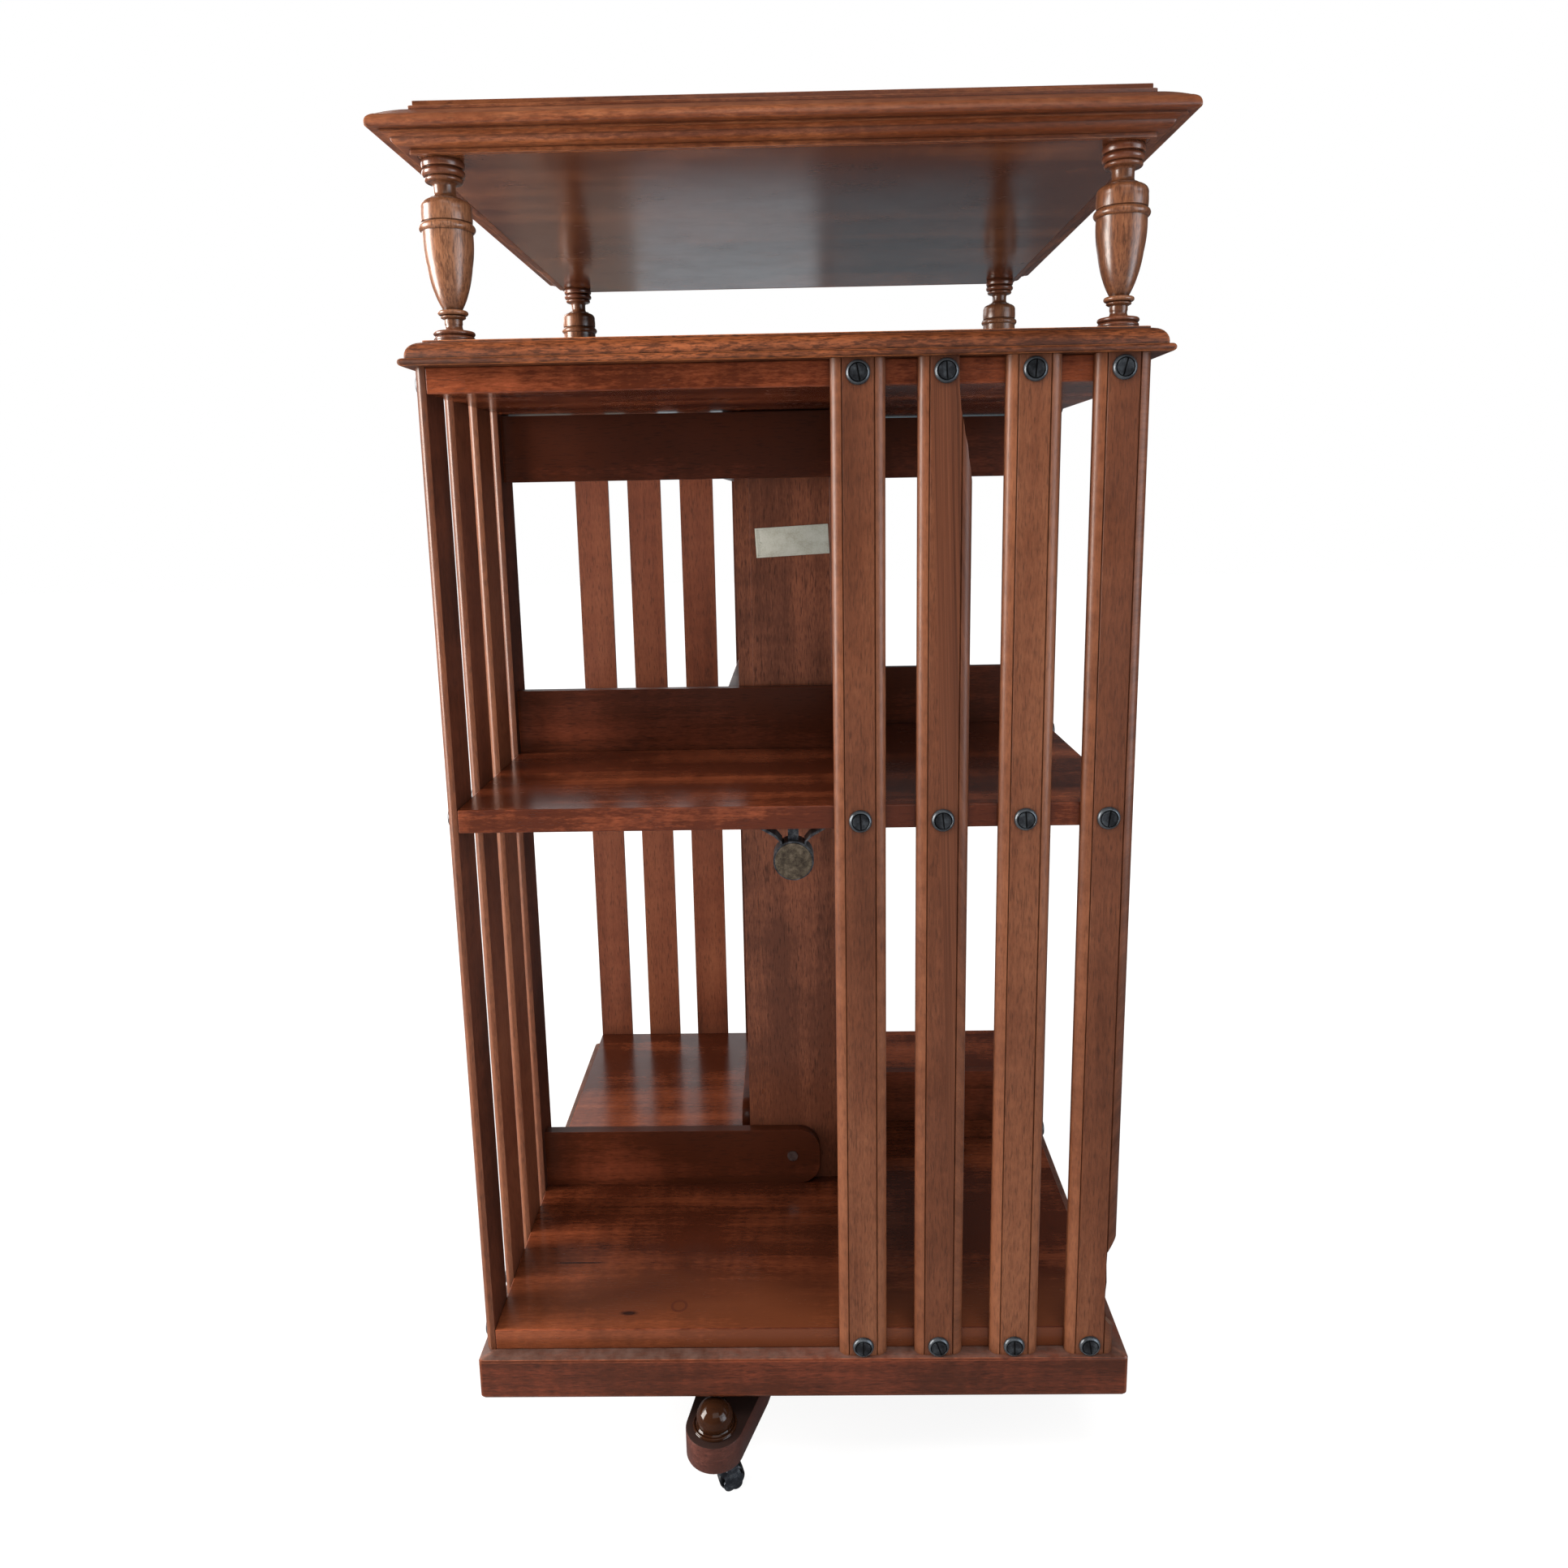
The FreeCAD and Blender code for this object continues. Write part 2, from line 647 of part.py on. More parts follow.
def make_rails():
    """Back rails on the column's faces: two long ones to a compartment above, a short one below."""
    long_rails, short_rails = [], []
    back = -column_half - size.rail_thickness
    for quarter, side in enumerate(QUARTERS):
        turn = quarter_turn(quarter)
        for level, base in (("middle", middle_shelf_top),
                            ("top", top_shelf_base - size.rail_top_gap - size.rail_height)):
            long_rails.append(box(f"rail_{level}_{side}", shelf_half + column_half, size.rail_thickness,
                                  size.rail_height, at(-shelf_half, back, base, turn)))
        reach, bend = size.short_rail_reach, size.short_rail_radius
        outline = [(-shelf_half, 0), (reach - bend, 0, bend), (reach, bend),
                   (reach, size.rail_height - bend, bend), (reach - bend, size.rail_height),
                   (-shelf_half, size.rail_height)]
        blank = prism(f"short_rail_{side}", outline, size.rail_thickness, UPRIGHT)
        blank.Placement = at(0, -column_half, bottom_shelf_top, turn)
        short_rails.append(blank)
    keep(group("long_rail_group", long_rails), "long_rails")
    keep(group("short_rail_group", short_rails), "short_rails")
    heads = []
    for quarter, side in enumerate(QUARTERS):
        place = outward(-size.rail_screw_offset, back, bottom_shelf_top + size.rail_screw_height, quarter)
        heads.append(screw_head(f"rail_screw_{side}", 12, size.rail_screw_radius,
                                size.rail_screw_height_proud, place))
    keep(group("rail_screw_group", heads), "rail_screws")


def make_bearings():
    """Blocks in the ends of the column: the upper one holds the pivot cup, the lower one the guide bush."""
    side = size.column_width - size.column_board_thickness * 2 - size.glue_gap * 2
    tall, cup_half = size.bearing_block_height, size.cup_width / 2
    seat_half = cup_half + size.glue_gap
    upper_base = top_shelf_base - tall
    upper = box("pivot_blank", side, side, tall, at(-side / 2, -side / 2, 0))
    seat = box("pivot_seat", seat_half * 2, seat_half * 2, size.cup_height + size.overrun,
               at(-seat_half, -seat_half, -size.overrun))
    keep(cut("pivot_block_cut", upper, [seat]), "pivot_block", at(up=upper_base))
    cup = box("cup_blank", size.cup_width, size.cup_width, size.cup_height, at(-cup_half, -cup_half, 0))
    running = size.post_radius + size.running_gap
    hollow = rod("cup_hollow", running, size.post_pivot_depth + size.overrun + size.running_gap,
                 at(up=-size.overrun))
    keep(cut("pivot_cup_cut", cup, [hollow]), "pivot_cup", at(up=upper_base))
    bush_half, long = size.bush_width / 2, tall + size.shelf_thickness
    seat_half = bush_half + size.glue_gap
    lower = box("guide_blank", side, side, tall, at(-side / 2, -side / 2, 0))
    passage = box("guide_seat", seat_half * 2, seat_half * 2, tall + size.overrun * 2,
                  at(-seat_half, -seat_half, -size.overrun))
    keep(cut("guide_block_cut", lower, [passage]), "guide_block", at(up=bottom_shelf_top))
    blank = box("bush_blank", size.bush_width, size.bush_width, long, at(-bush_half, -bush_half, 0))
    bore = rod("bush_bore", running, long + size.overrun * 2, at(up=-size.overrun))
    keep(cut("bush_bored", blank, [bore]), "guide_bush", at(up=bottom_shelf_base))


foot_base = size.castor_height
foot_top = foot_base + size.foot_thickness


def make_foot():
    """Two bars halved across each other, with round ends, and the post in its flange."""
    reach, end, wide = size.foot_knob_reach, size.foot_end_radius, size.foot_width / 2
    start = size.foot_taper_start
    outline = [(-start, -wide), (start, -wide), (reach, -end, end), (reach + end, 0, end), (reach, end),
               (start, wide), (-start, wide), (-reach, end, end), (-reach - end, 0, end), (-reach, -end)]
    notch = size.foot_width + size.glue_gap * 2
    half_depth = size.foot_thickness / 2
    for label, notch_base, turn in (("foot_bar_lower", half_depth, size.foot_turn_angle),
                                    ("foot_bar_upper", -size.overrun, size.foot_turn_angle + 90)):
        bar = prism(f"{label}_blank", outline, size.foot_thickness)
        halving = box(f"{label}_halving", notch, notch, half_depth + size.overrun + size.glue_gap / 2,
                      at(-notch / 2, -notch / 2, notch_base - size.glue_gap / 2))
        drills = [halving, rod(f"{label}_post_drill", size.post_radius + size.glue_gap,
                               size.foot_thickness + size.overrun * 2, at(up=-size.overrun))]
        keep(cut(f"{label}_cut", bar, drills), label, at(up=foot_base, turn=turn + 90))


def foot_places(up):
    """The four arm ends, at a height."""
    return [at(size.foot_knob_reach, 0, up, size.foot_turn_angle + 90 * arm) for arm in range(4)]


# The ball of a knob: distances from its axis and rises over its middle, as shares of its radius.
KNOB_SHARES = {
    "shoulder": 0.87, "shoulder_rise": 0.52, "crown": 0.55, "crown_rise": 0.86, "top": 0.20,
}


def make_foot_fittings():
    """Knobs on the arm ends, castor plates under them, and the flange that holds the post."""
    ball, lift, collar = size.knob_radius, size.knob_centre_height, size.knob_collar_radius
    outline = [(collar, 0), (collar, size.knob_collar_height), (ball, size.knob_collar_height), (ball, lift),
               (ball * KNOB_SHARES["shoulder"], lift + ball * KNOB_SHARES["shoulder_rise"]),
               (ball * KNOB_SHARES["crown"], lift + ball * KNOB_SHARES["crown_rise"]),
               (ball * KNOB_SHARES["top"], lift + ball)]
    plate_half, plate_tall = size.castor_plate_width / 2, size.castor_plate_thickness
    knobs, plates = [], []
    for number, place in enumerate(foot_places(foot_top), start=1):
        knob = flat_sided_turning(f"knob_{number}", outline, collar + size.overrun, 12)
        knob.Placement = place
        knobs.append(knob)
    for number, place in enumerate(foot_places(foot_base), start=1):
        blank = box(f"castor_plate_blank_{number}", size.castor_plate_width, size.castor_plate_width, plate_tall,
                    at(-plate_half, -plate_half, -plate_tall))
        bore = rod(f"castor_plate_bore_{number}", size.fork_stem_radius + size.running_gap,
                   plate_tall + size.overrun * 2, at(up=-plate_tall - size.overrun))
        plate = cut(f"castor_plate_{number}", blank, [bore])
        plate.Placement = place
        plates.append(plate)
    keep(group("knob_group", knobs), "foot_knobs")
    keep(group("castor_plate_group", plates), "castor_plates")
    half, hub = size.flange_width / 2, size.flange_hub_width / 2
    plate = box("flange_plate", size.flange_width, size.flange_width, size.flange_thickness, at(-half, -half, 0))
    boss = box("flange_hub", size.flange_hub_width, size.flange_hub_width, size.flange_hub_height, at(-hub, -hub, 0))
    bore = rod("flange_bore", size.post_radius + size.glue_gap, size.flange_hub_height + size.overrun * 2,
               at(up=-size.overrun))
    flange = cut("flange_bored", fused("flange_casting", [plate, boss]), [bore])
    keep(flange, "post_flange", at(up=foot_top, turn=size.foot_turn_angle))
    offset = size.flange_screw_offset
    heads = [screw_head(f"flange_screw_{number}", 6, size.flange_screw_head_radius,
                        size.flange_screw_head_height,
                        at(offset, offset, foot_top + size.flange_thickness, size.foot_turn_angle + 90 * number))
             for number in range(4)]
    keep(group("flange_screw_group", heads), "flange_screws")
    length = top_shelf_base - size.bearing_block_height + size.post_pivot_depth - foot_base
    keep(rod("post_rod", size.post_radius, length, at()), "post", at(up=foot_base))


def make_castors():
    """Four swivel castors: a fork in one piece with its stem and axle pin, and a wheel."""
    trail, axle_height = size.castor_trail, size.wheel_radius
    crown_top = foot_base - size.castor_plate_thickness - size.fork_crown_gap
    crown_base = crown_top - size.fork_crown_thickness
    eye, shoulder, reach = size.fork_eye_radius, size.fork_shoulder_reach, size.fork_crown_reach
    outer = size.fork_gap + size.fork_cheek_thickness * 2
    bevel = eye * size.fork_eye_bevel_share
    cheek = [(-shoulder, crown_base), (trail - eye, axle_height), (trail - eye, axle_height - bevel),
             (trail - bevel, axle_height - eye), (trail + bevel, axle_height - eye),
             (trail + eye, axle_height - bevel), (trail + eye, axle_height + bevel),
             (reach, crown_base), (reach, crown_top), (-shoulder, crown_top)]
    wide = size.wheel_width / 2
    bore = size.axle_radius + size.running_gap
    rolling = FreeCAD.Placement(vector(trail, 0, axle_height), UPRIGHT)
    for number, place in enumerate(foot_places(0), start=1):
        name = f"castor_{number}"
        cheeks = prism(f"{name}_cheeks", cheek, outer, UPRIGHT, symmetric=True)
        clear = box(f"{name}_clear", size.castor_height * 2, size.fork_gap, crown_base,
                    at(-size.castor_height, -size.fork_gap / 2, 0))
        frame = cut(f"{name}_frame", cheeks, [clear])
        stem = rod(f"{name}_stem", size.fork_stem_radius, size.fork_stem_length, at(up=crown_top))
        pin_length = size.fork_gap + size.fork_cheek_thickness
        pin_place = FreeCAD.Placement(vector(trail, pin_length / 2, axle_height), UPRIGHT)
        axle = rod(f"{name}_pin", size.axle_radius, pin_length, pin_place)
        spot = FreeCAD.Placement(place.Base, FreeCAD.Rotation(Z_AXIS, size.castor_trail_angle.value))
        keep(fused(f"{name}_fork", [frame, stem, axle]), f"castor_fork_{number}", spot)
        wheel = turned_body(f"{name}_wheel", [(bore, -wide), (axle_height, -wide), (axle_height, wide), (bore, wide)])
        keep(wheel, f"castor_wheel_{number}", spot * rolling)


def make_button():
    """The round metal button under the middle shelf's front edge, in a strap whose ends flare into wings."""
    radius = size.button_radius
    front = -shelf_half + size.strap_setback
    centre = middle_shelf_base - size.strap_drop
    button = rod("button_disc", radius, size.button_length, at())
    keep(button, "round_button", FreeCAD.Placement(vector(0, front + size.button_length, centre), UPRIGHT))
    inner = radius + size.glue_gap
    outer = inner + size.strap_thickness
    ring = rod("strap_ring", outer, size.strap_width, FreeCAD.Placement(FreeCAD.Vector(), UPRIGHT))
    half, rise, reach = size.strap_neck_width / 2, size.strap_neck_height, size.strap_wing_reach
    bend, flare, top = half + size.strap_flare_width, size.strap_flare_height, size.strap_drop
    thick = size.strap_thickness
    wings = prism("strap_wings", [(-half, 0), (half, 0), (half, rise - flare), (bend, rise + thick),
                                  (reach, top - thick / 2), (reach, top), (-reach, top),
                                  (-reach, top - thick / 2), (-bend, rise + thick), (-half, rise - flare)],
                  size.strap_width, UPRIGHT)
    hollow = prism("strap_hollow", [(-half + thick, 0), (half - thick, 0), (half - thick, rise - flare),
                                    (bend - thick, rise + thick * 2), (reach - thick, top + thick),
                                    (thick - reach, top + thick), (thick - bend, rise + thick * 2),
                                    (thick - half, rise - flare)],
                   size.strap_width + size.overrun * 2, UPRIGHT)
    hollow.Placement = FreeCAD.Placement(vector(0, size.overrun, 0), FreeCAD.Rotation())
    bore = rod("strap_bore", inner, size.strap_width + size.overrun * 2,
               FreeCAD.Placement(vector(0, size.overrun, 0), UPRIGHT))
    middle = box("strap_middle", size.strap_post_width, size.strap_post_width, top,
                 at(-size.strap_post_width / 2, -size.strap_width / 2 - size.strap_post_width / 2, 0))
    flared = cut("strap_flared", wings, [hollow])
    strap = cut("strap_cut", fused("strap_pieces", [ring, flared, middle]), [bore])
    keep(strap, "button_strap", at(0, front + size.strap_button_proud + size.strap_width, centre))


make_foot()
make_foot_fittings()
make_castors()
make_plinth()
make_shelf("bottom_shelf", bottom_shelf_base, "bush")
make_shelf("middle_shelf", middle_shelf_base, "column")
make_shelf("top_shelf", top_shelf_base, None)
make_deck()
make_column()
make_bearings()
make_rails()
make_slats()
make_slat_screws()
make_balusters()
make_table()
make_button()
doc.recompute()

for item in doc.Objects:
    if "Invalid" in item.State or "Error" in item.State:
        raise RuntimeError(f"{item.Label} failed: {item.State}")
for node in nodes:
    if node.Shape.isNull() or not node.Shape.isValid() or not node.Shape.Solids:
        raise RuntimeError(f"{node.Label} has no valid solid")

os.makedirs("parts", exist_ok=True)
for node in nodes:
    node.Shape.exportStep(os.path.join("parts", f"{node.Label}.step"))
print(len(nodes), "nodes,", sum(len(node.Shape.Solids) for node in nodes), "solids")
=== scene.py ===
"""A revolving bookcase of polished mahogany, dressed for the camera round its solid frame."""
import math
import bmesh
import bpy
from mathutils import Matrix, Vector


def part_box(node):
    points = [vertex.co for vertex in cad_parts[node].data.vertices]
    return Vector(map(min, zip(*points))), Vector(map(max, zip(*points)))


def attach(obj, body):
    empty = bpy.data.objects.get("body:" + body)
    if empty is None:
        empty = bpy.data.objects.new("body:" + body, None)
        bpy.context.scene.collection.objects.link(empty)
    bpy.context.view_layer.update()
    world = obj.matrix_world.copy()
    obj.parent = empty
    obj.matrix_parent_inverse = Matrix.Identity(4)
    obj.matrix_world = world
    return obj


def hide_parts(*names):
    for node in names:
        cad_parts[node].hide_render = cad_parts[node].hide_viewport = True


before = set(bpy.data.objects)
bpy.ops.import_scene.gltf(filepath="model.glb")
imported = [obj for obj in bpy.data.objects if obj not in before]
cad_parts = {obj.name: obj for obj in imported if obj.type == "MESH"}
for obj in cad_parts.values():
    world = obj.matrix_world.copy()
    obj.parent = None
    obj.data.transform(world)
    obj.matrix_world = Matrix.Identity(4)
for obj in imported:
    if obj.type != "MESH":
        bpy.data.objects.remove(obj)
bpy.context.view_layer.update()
mm = 0.001

# The room: a pale floor that runs out of sight, a strong window on the left, weaker ones on the right,
# behind and high in front, and pale walls that throw some light back. The camera stands close in front,
# about as high as a table, and looks a little down.
picture_width, focus, middle_row, sensor_width = 1932, 1344.0, 856.3, 36
eye = Vector((6.9, -948.2, 738.2)) * mm
yaw, pitch, roll = -0.01586, -0.17736, -0.01805
floor_reach, floor_drop = 9, 0.3 * mm


def into_scene(name, data):
    """A new object of the scene, made of the data."""
    thing = bpy.data.objects.new(name, data)
    bpy.context.scene.collection.objects.link(thing)
    return thing


ahead = Vector((math.sin(yaw) * math.cos(pitch), math.cos(yaw) * math.cos(pitch), math.sin(pitch)))
level = Vector((math.cos(yaw), -math.sin(yaw), 0))
lift = level.cross(ahead)
right = level * math.cos(roll) + lift * math.sin(roll)
upward = lift * math.cos(roll) - level * math.sin(roll)
camera = into_scene("camera", bpy.data.cameras.new("camera"))
camera.matrix_world = Matrix([(right[i], upward[i], -ahead[i], eye[i]) for i in range(3)] + [(0, 0, 0, 1)])
camera.data.sensor_width = sensor_width
camera.data.lens = focus / picture_width * sensor_width
camera.data.shift_y = (middle_row - picture_width / 2) / picture_width
camera.data.clip_start = 0.05
bpy.context.scene.camera = camera
bpy.context.scene.view_settings.view_transform = "Standard"


def window(name, place, target, width, height, power, colour, mirrored=True, lighting=True):
    """A window as a soft area light. One that isn't mirrored is light thrown back by pale walls, and one
    that isn't lighting only shows in the polish."""
    lamp = bpy.data.lights.new(name, "AREA")
    lamp.shape, lamp.size, lamp.size_y = "RECTANGLE", width, height
    lamp.energy, lamp.color = power, colour
    light = into_scene(name, lamp)
    light.location = place
    light.rotation_euler = (Vector(target) - Vector(place)).to_track_quat("-Z", "Y").to_euler()
    light.visible_glossy, light.visible_diffuse = mirrored, lighting


window("window_left", (-2.5, -0.55, 1.0), (0, 0, 0.5), 1.2, 1.8, 210, (1.0, 0.94, 0.88))
window("window_right", (2.0, -2.1, 1.2), (0, 0, 0.6), 0.8, 1.6, 14, (0.88, 0.94, 1.0))
window("window_back_high", (-0.5, 2.6, 1.45), (0, 0, 0.3), 0.9, 0.8, 3, (0.95, 0.98, 1.0))
window("window_back_left", (-1.9, 1.9, 1.9), (0, 0, 0.6), 1.4, 1.4, 30, (1.0, 0.97, 0.95))
window("window_behind", (-0.20, 2.6, 0.45), (-0.1, 0, 0.6), 0.56, 0.8, 0.70, (0.80, 0.90, 0.97))
window("far_left_behind", (-0.66, 2.6, 0.45), (-0.1, 0, 0.6), 0.4, 0.8, 0.14, (1.0, 0.80, 0.60))
window("high_front", (0.5, -2.5, 2.6), (0, -0.1, 0.35), 2.4, 1.6, 20, (1.0, 0.98, 0.96))
window("above_front", (0.1, -1.3, 2.8), (0, -0.2, 0.3), 1.6, 0.8, 52, (1.0, 0.98, 0.96), mirrored=False)
window("low_front", (0.3, -2.3, 0.22), (0, 0, 0.8), 1.8, 0.36, 10, (1.0, 0.97, 0.93), mirrored=False)
window("pale_wall_right", (1.5, -1.15, 0.36), (0, -0.2, 0.5), 0.8, 0.7, 5, (0.88, 0.94, 1.0))
window("sky_on_right", (2.0, -1.05, 0.75), (0.1, -0.24, 0.5), 0.9, 1.5, 26, (0.80, 0.90, 1.0), lighting=False)
window("dusk_behind_right", (0.42, 2.6, 0.45), (0, 0, 0.6), 0.6, 0.8, 0.20, (0.50, 0.85, 1.0))


def put(tree, kind, sockets=None, **settings):
    """Adds a node: its settings, then its sockets by name or number: a value or another node's output."""
    node = tree.nodes.new(kind)
    for name, value in settings.items():
        setattr(node, name, value)
    for key, value in (sockets or {}).items():
        if isinstance(value, bpy.types.NodeSocket):
            tree.links.new(value, node.inputs[key])
        else:
            node.inputs[key].default_value = value
    return node


def calculate(tree, operation, *values, clamp=False):
    """The result of a calculation on numbers or on other nodes' outputs."""
    sockets = dict(enumerate(values))
    return put(tree, "ShaderNodeMath", sockets, operation=operation, use_clamp=clamp).outputs[0]


def mixed(tree, factor, first, second):
    """Two shaders mixed by a factor."""
    return put(tree, "ShaderNodeMixShader", {0: factor, 1: first, 2: second}).outputs[0]


world = bpy.data.worlds.new("daylight")
bpy.context.scene.world = world
world.use_nodes = True
sky = world.node_tree
sky.nodes.clear()
rays = put(sky, "ShaderNodeLightPath").outputs
seen = calculate(sky, "MAXIMUM", rays["Is Camera Ray"], rays["Is Transmission Ray"])
soft_fill = put(sky, "ShaderNodeBackground", {"Color": (1, 0.99, 0.98, 1), "Strength": 0.62}).outputs[0]
in_polish = put(sky, "ShaderNodeBackground", {"Color": (0.97, 0.98, 1, 1), "Strength": 0.07}).outputs[0]
white = put(sky, "ShaderNodeBackground", {"Color": (1, 1, 1, 1), "Strength": 1}).outputs[0]
unseen = mixed(sky, rays["Is Glossy Ray"], soft_fill, in_polish)
put(sky, "ShaderNodeOutputWorld", {"Surface": mixed(sky, seen, unseen, white)})


def new_material(name):
    """A material with an empty node tree, and that tree."""
    material = bpy.data.materials.new(name)
    material.use_nodes = True
    material.node_tree.nodes.clear()
    return material, material.node_tree


def spot_on(tree):
    """Where a point lies on the piece."""
    return put(tree, "ShaderNodeTexCoord").outputs["Object"]


def length_of(tree, vector):
    """A vector's length."""
    return put(tree, "ShaderNodeVectorMath", {0: vector}, operation="LENGTH").outputs["Value"]


def rectangle(half_x, half_y):
    """The corners of a rectangle round the middle, anticlockwise."""
    return [(x * half_x, y * half_y) for x, y in ((-1, -1), (1, -1), (1, 1), (-1, 1))]


floor_paint, paint = new_material("pale_floor")
matt = put(paint, "ShaderNodeBsdfDiffuse", {"Color": (0.75, 0.74, 0.72, 1)}).outputs[0]
in_mirrors = put(paint, "ShaderNodeBsdfDiffuse", {"Color": (0.14, 0.14, 0.15, 1)}).outputs[0]
shadowed = put(paint, "ShaderNodeBsdfDiffuse", {"Color": (0.16, 0.16, 0.16, 1)}).outputs[0]
paler = put(paint, "ShaderNodeMapRange", {"Value": length_of(paint, spot_on(paint)), "From Min": 0.35,
                                          "From Max": 1.3, "To Min": 0.87, "To Max": 1.02},
            interpolation_type="SMOOTHSTEP").outputs[0]
glow = put(paint, "ShaderNodeEmission", {"Color": (1, 1, 1, 1), "Strength": paler}).outputs[0]
bright = put(paint, "ShaderNodeAddShader", {0: shadowed, 1: glow}).outputs[0]
path = put(paint, "ShaderNodeLightPath").outputs
unseen = mixed(paint, path["Is Glossy Ray"], matt, in_mirrors)
put(paint, "ShaderNodeOutputMaterial", {"Surface": mixed(paint, path["Is Camera Ray"], unseen, bright)})
floor_mesh = bpy.data.meshes.new("floor")
floor_mesh.from_pydata([(x, y, 0) for x, y in rectangle(floor_reach, floor_reach)], [], [(0, 1, 2, 3)])
floor_mesh.materials.append(floor_paint)
floor = into_scene("floor", floor_mesh)
floor.location.z = -floor_drop

# The foot: two bars of mahogany, halved across each other, tapered a little and rounded at the ends.
# The polish has gone almost black on top with a century of dust and wax, and the arrises are chipped.
foot_turn, foot_base, bar_thickness, bar_half, taper_start = -15.3, 35, 22, 26, 200
knob_reach, end_radius, notch_half, joint_gap = 249.5, 22, 26.05, 0.03
foot_tones = ((0.042, 0.012, 0.008), (0.120, 0.038, 0.026), (0.19, 0.068, 0.048))
board_shift = (3.1, 5.7, 4.3)


def vectors(tree, operation, first, second):
    """The result of a calculation on two vectors, or on a vector and a scale."""
    key = "Scale" if operation == "SCALE" else 1
    return put(tree, "ShaderNodeVectorMath", {0: first, key: second}, operation=operation).outputs[0]


def attribute(tree, name):
    """A named number that the mesh carries, such as a board's own number and the rub value: wear on an arris
    above 0, painted shade in a crease below 0.
    """
    return put(tree, "ShaderNodeAttribute", attribute_name=name).outputs["Fac"]


def part_of(tree, vector, axis):
    """One of a vector's three parts."""
    return put(tree, "ShaderNodeSeparateXYZ", {0: vector}).outputs[axis]


def vector_of(tree, x=0.0, y=0.0, z=0.0):
    """A vector put together from its three parts."""
    return put(tree, "ShaderNodeCombineXYZ", {0: x, 1: y, 2: z}).outputs[0]


def grain_coordinates(tree, grain, seed):
    """Where a point lies in the wood: along the fibres, then across them, shifted for every board."""
    board = attribute(tree, "board")
    moved = vectors(tree, "ADD", spot_on(tree), vectors(tree, "SCALE", board_shift, board))
    seeded = vectors(tree, "ADD", moved, (seed * 1.7, seed * 2.3, seed * 3.1))
    order = {"X": "XYZ", "Y": "YXZ", "Z": "ZXY"}[grain]
    turned = vector_of(tree, *[part_of(tree, seeded, axis) for axis in order])
    slow = vectors(tree, "MULTIPLY", turned, (1.6, 5.0, 5.0))
    wander = put(tree, "ShaderNodeTexNoise", {"Vector": slow, "Scale": 1, "Detail": 2}).outputs["Color"]
    centred = vectors(tree, "SUBTRACT", wander, (0.5, 0.5, 0.5))
    bent = vectors(tree, "MULTIPLY", centred, (0, 0.008, 0.008))
    return vectors(tree, "ADD", turned, bent), seeded, board


def stretched_noise(tree, vector, stretch, detail=3.0, roughness=0.55):
    """Noise drawn out along the fibres."""
    scaled = vectors(tree, "MULTIPLY", vector, stretch)
    sockets = {"Vector": scaled, "Scale": 1, "Detail": detail, "Roughness": roughness}
    return put(tree, "ShaderNodeTexNoise", sockets).outputs["Fac"]


def sum_of(tree, base, *parts):
    """A base number plus weighted noises, each taken from its middle."""
    total = base
    for source, weight in parts:
        total = calculate(tree, "MULTIPLY_ADD", calculate(tree, "SUBTRACT", source, 0.5), weight, total)
    return total


def ramp(tree, factor, stops):
    """A colour ramp through (place, colour) stops."""
    node = put(tree, "ShaderNodeValToRGB", {"Fac": factor})
    while len(node.color_ramp.elements) < len(stops):
        node.color_ramp.elements.new(0.5)
    for element, (place, colour) in zip(node.color_ramp.elements, stops):
        element.position = place
        element.color = (*colour, 1)
    return node.outputs["Color"]


def mix(tree, factor, first, second):
    """Two colours mixed by a factor. Colours are sockets or RGB triples."""
    ends = [end if isinstance(end, bpy.types.NodeSocket) else (*end, 1) for end in (first, second)]
    return put(tree, "ShaderNodeMix", {0: factor, 6: ends[0], 7: ends[1]}, data_type="RGBA").outputs[2]


def shade(colour, factor):
    """A colour made darker or lighter."""
    return tuple(part * factor for part in colour)


def lightened(tones, factor):
    """A finish's three tones, all made lighter or darker."""
    return tuple(shade(tone, factor) for tone in tones)


def rising(tree, value, start, end, most):
    """A factor that goes from nothing at the start to its most at the end."""
    sockets = {"Value": value, "From Min": start, "From Max": end, "To Max": most}
    return put(tree, "ShaderNodeMapRange", sockets).outputs[0]


def lying(tree, start, end, most):
    """A factor for what lies flat, from how far the face looks up."""
    normal = put(tree, "ShaderNodeNewGeometry").outputs["Normal"]
    return rising(tree, part_of(tree, normal, "Z"), start, end, most)


def surfaced(tree, sockets):
    """Ends a material's tree in one surface."""
    surface = put(tree, "ShaderNodeBsdfPrincipled", sockets).outputs[0]
    put(tree, "ShaderNodeOutputMaterial", {"Surface": surface})


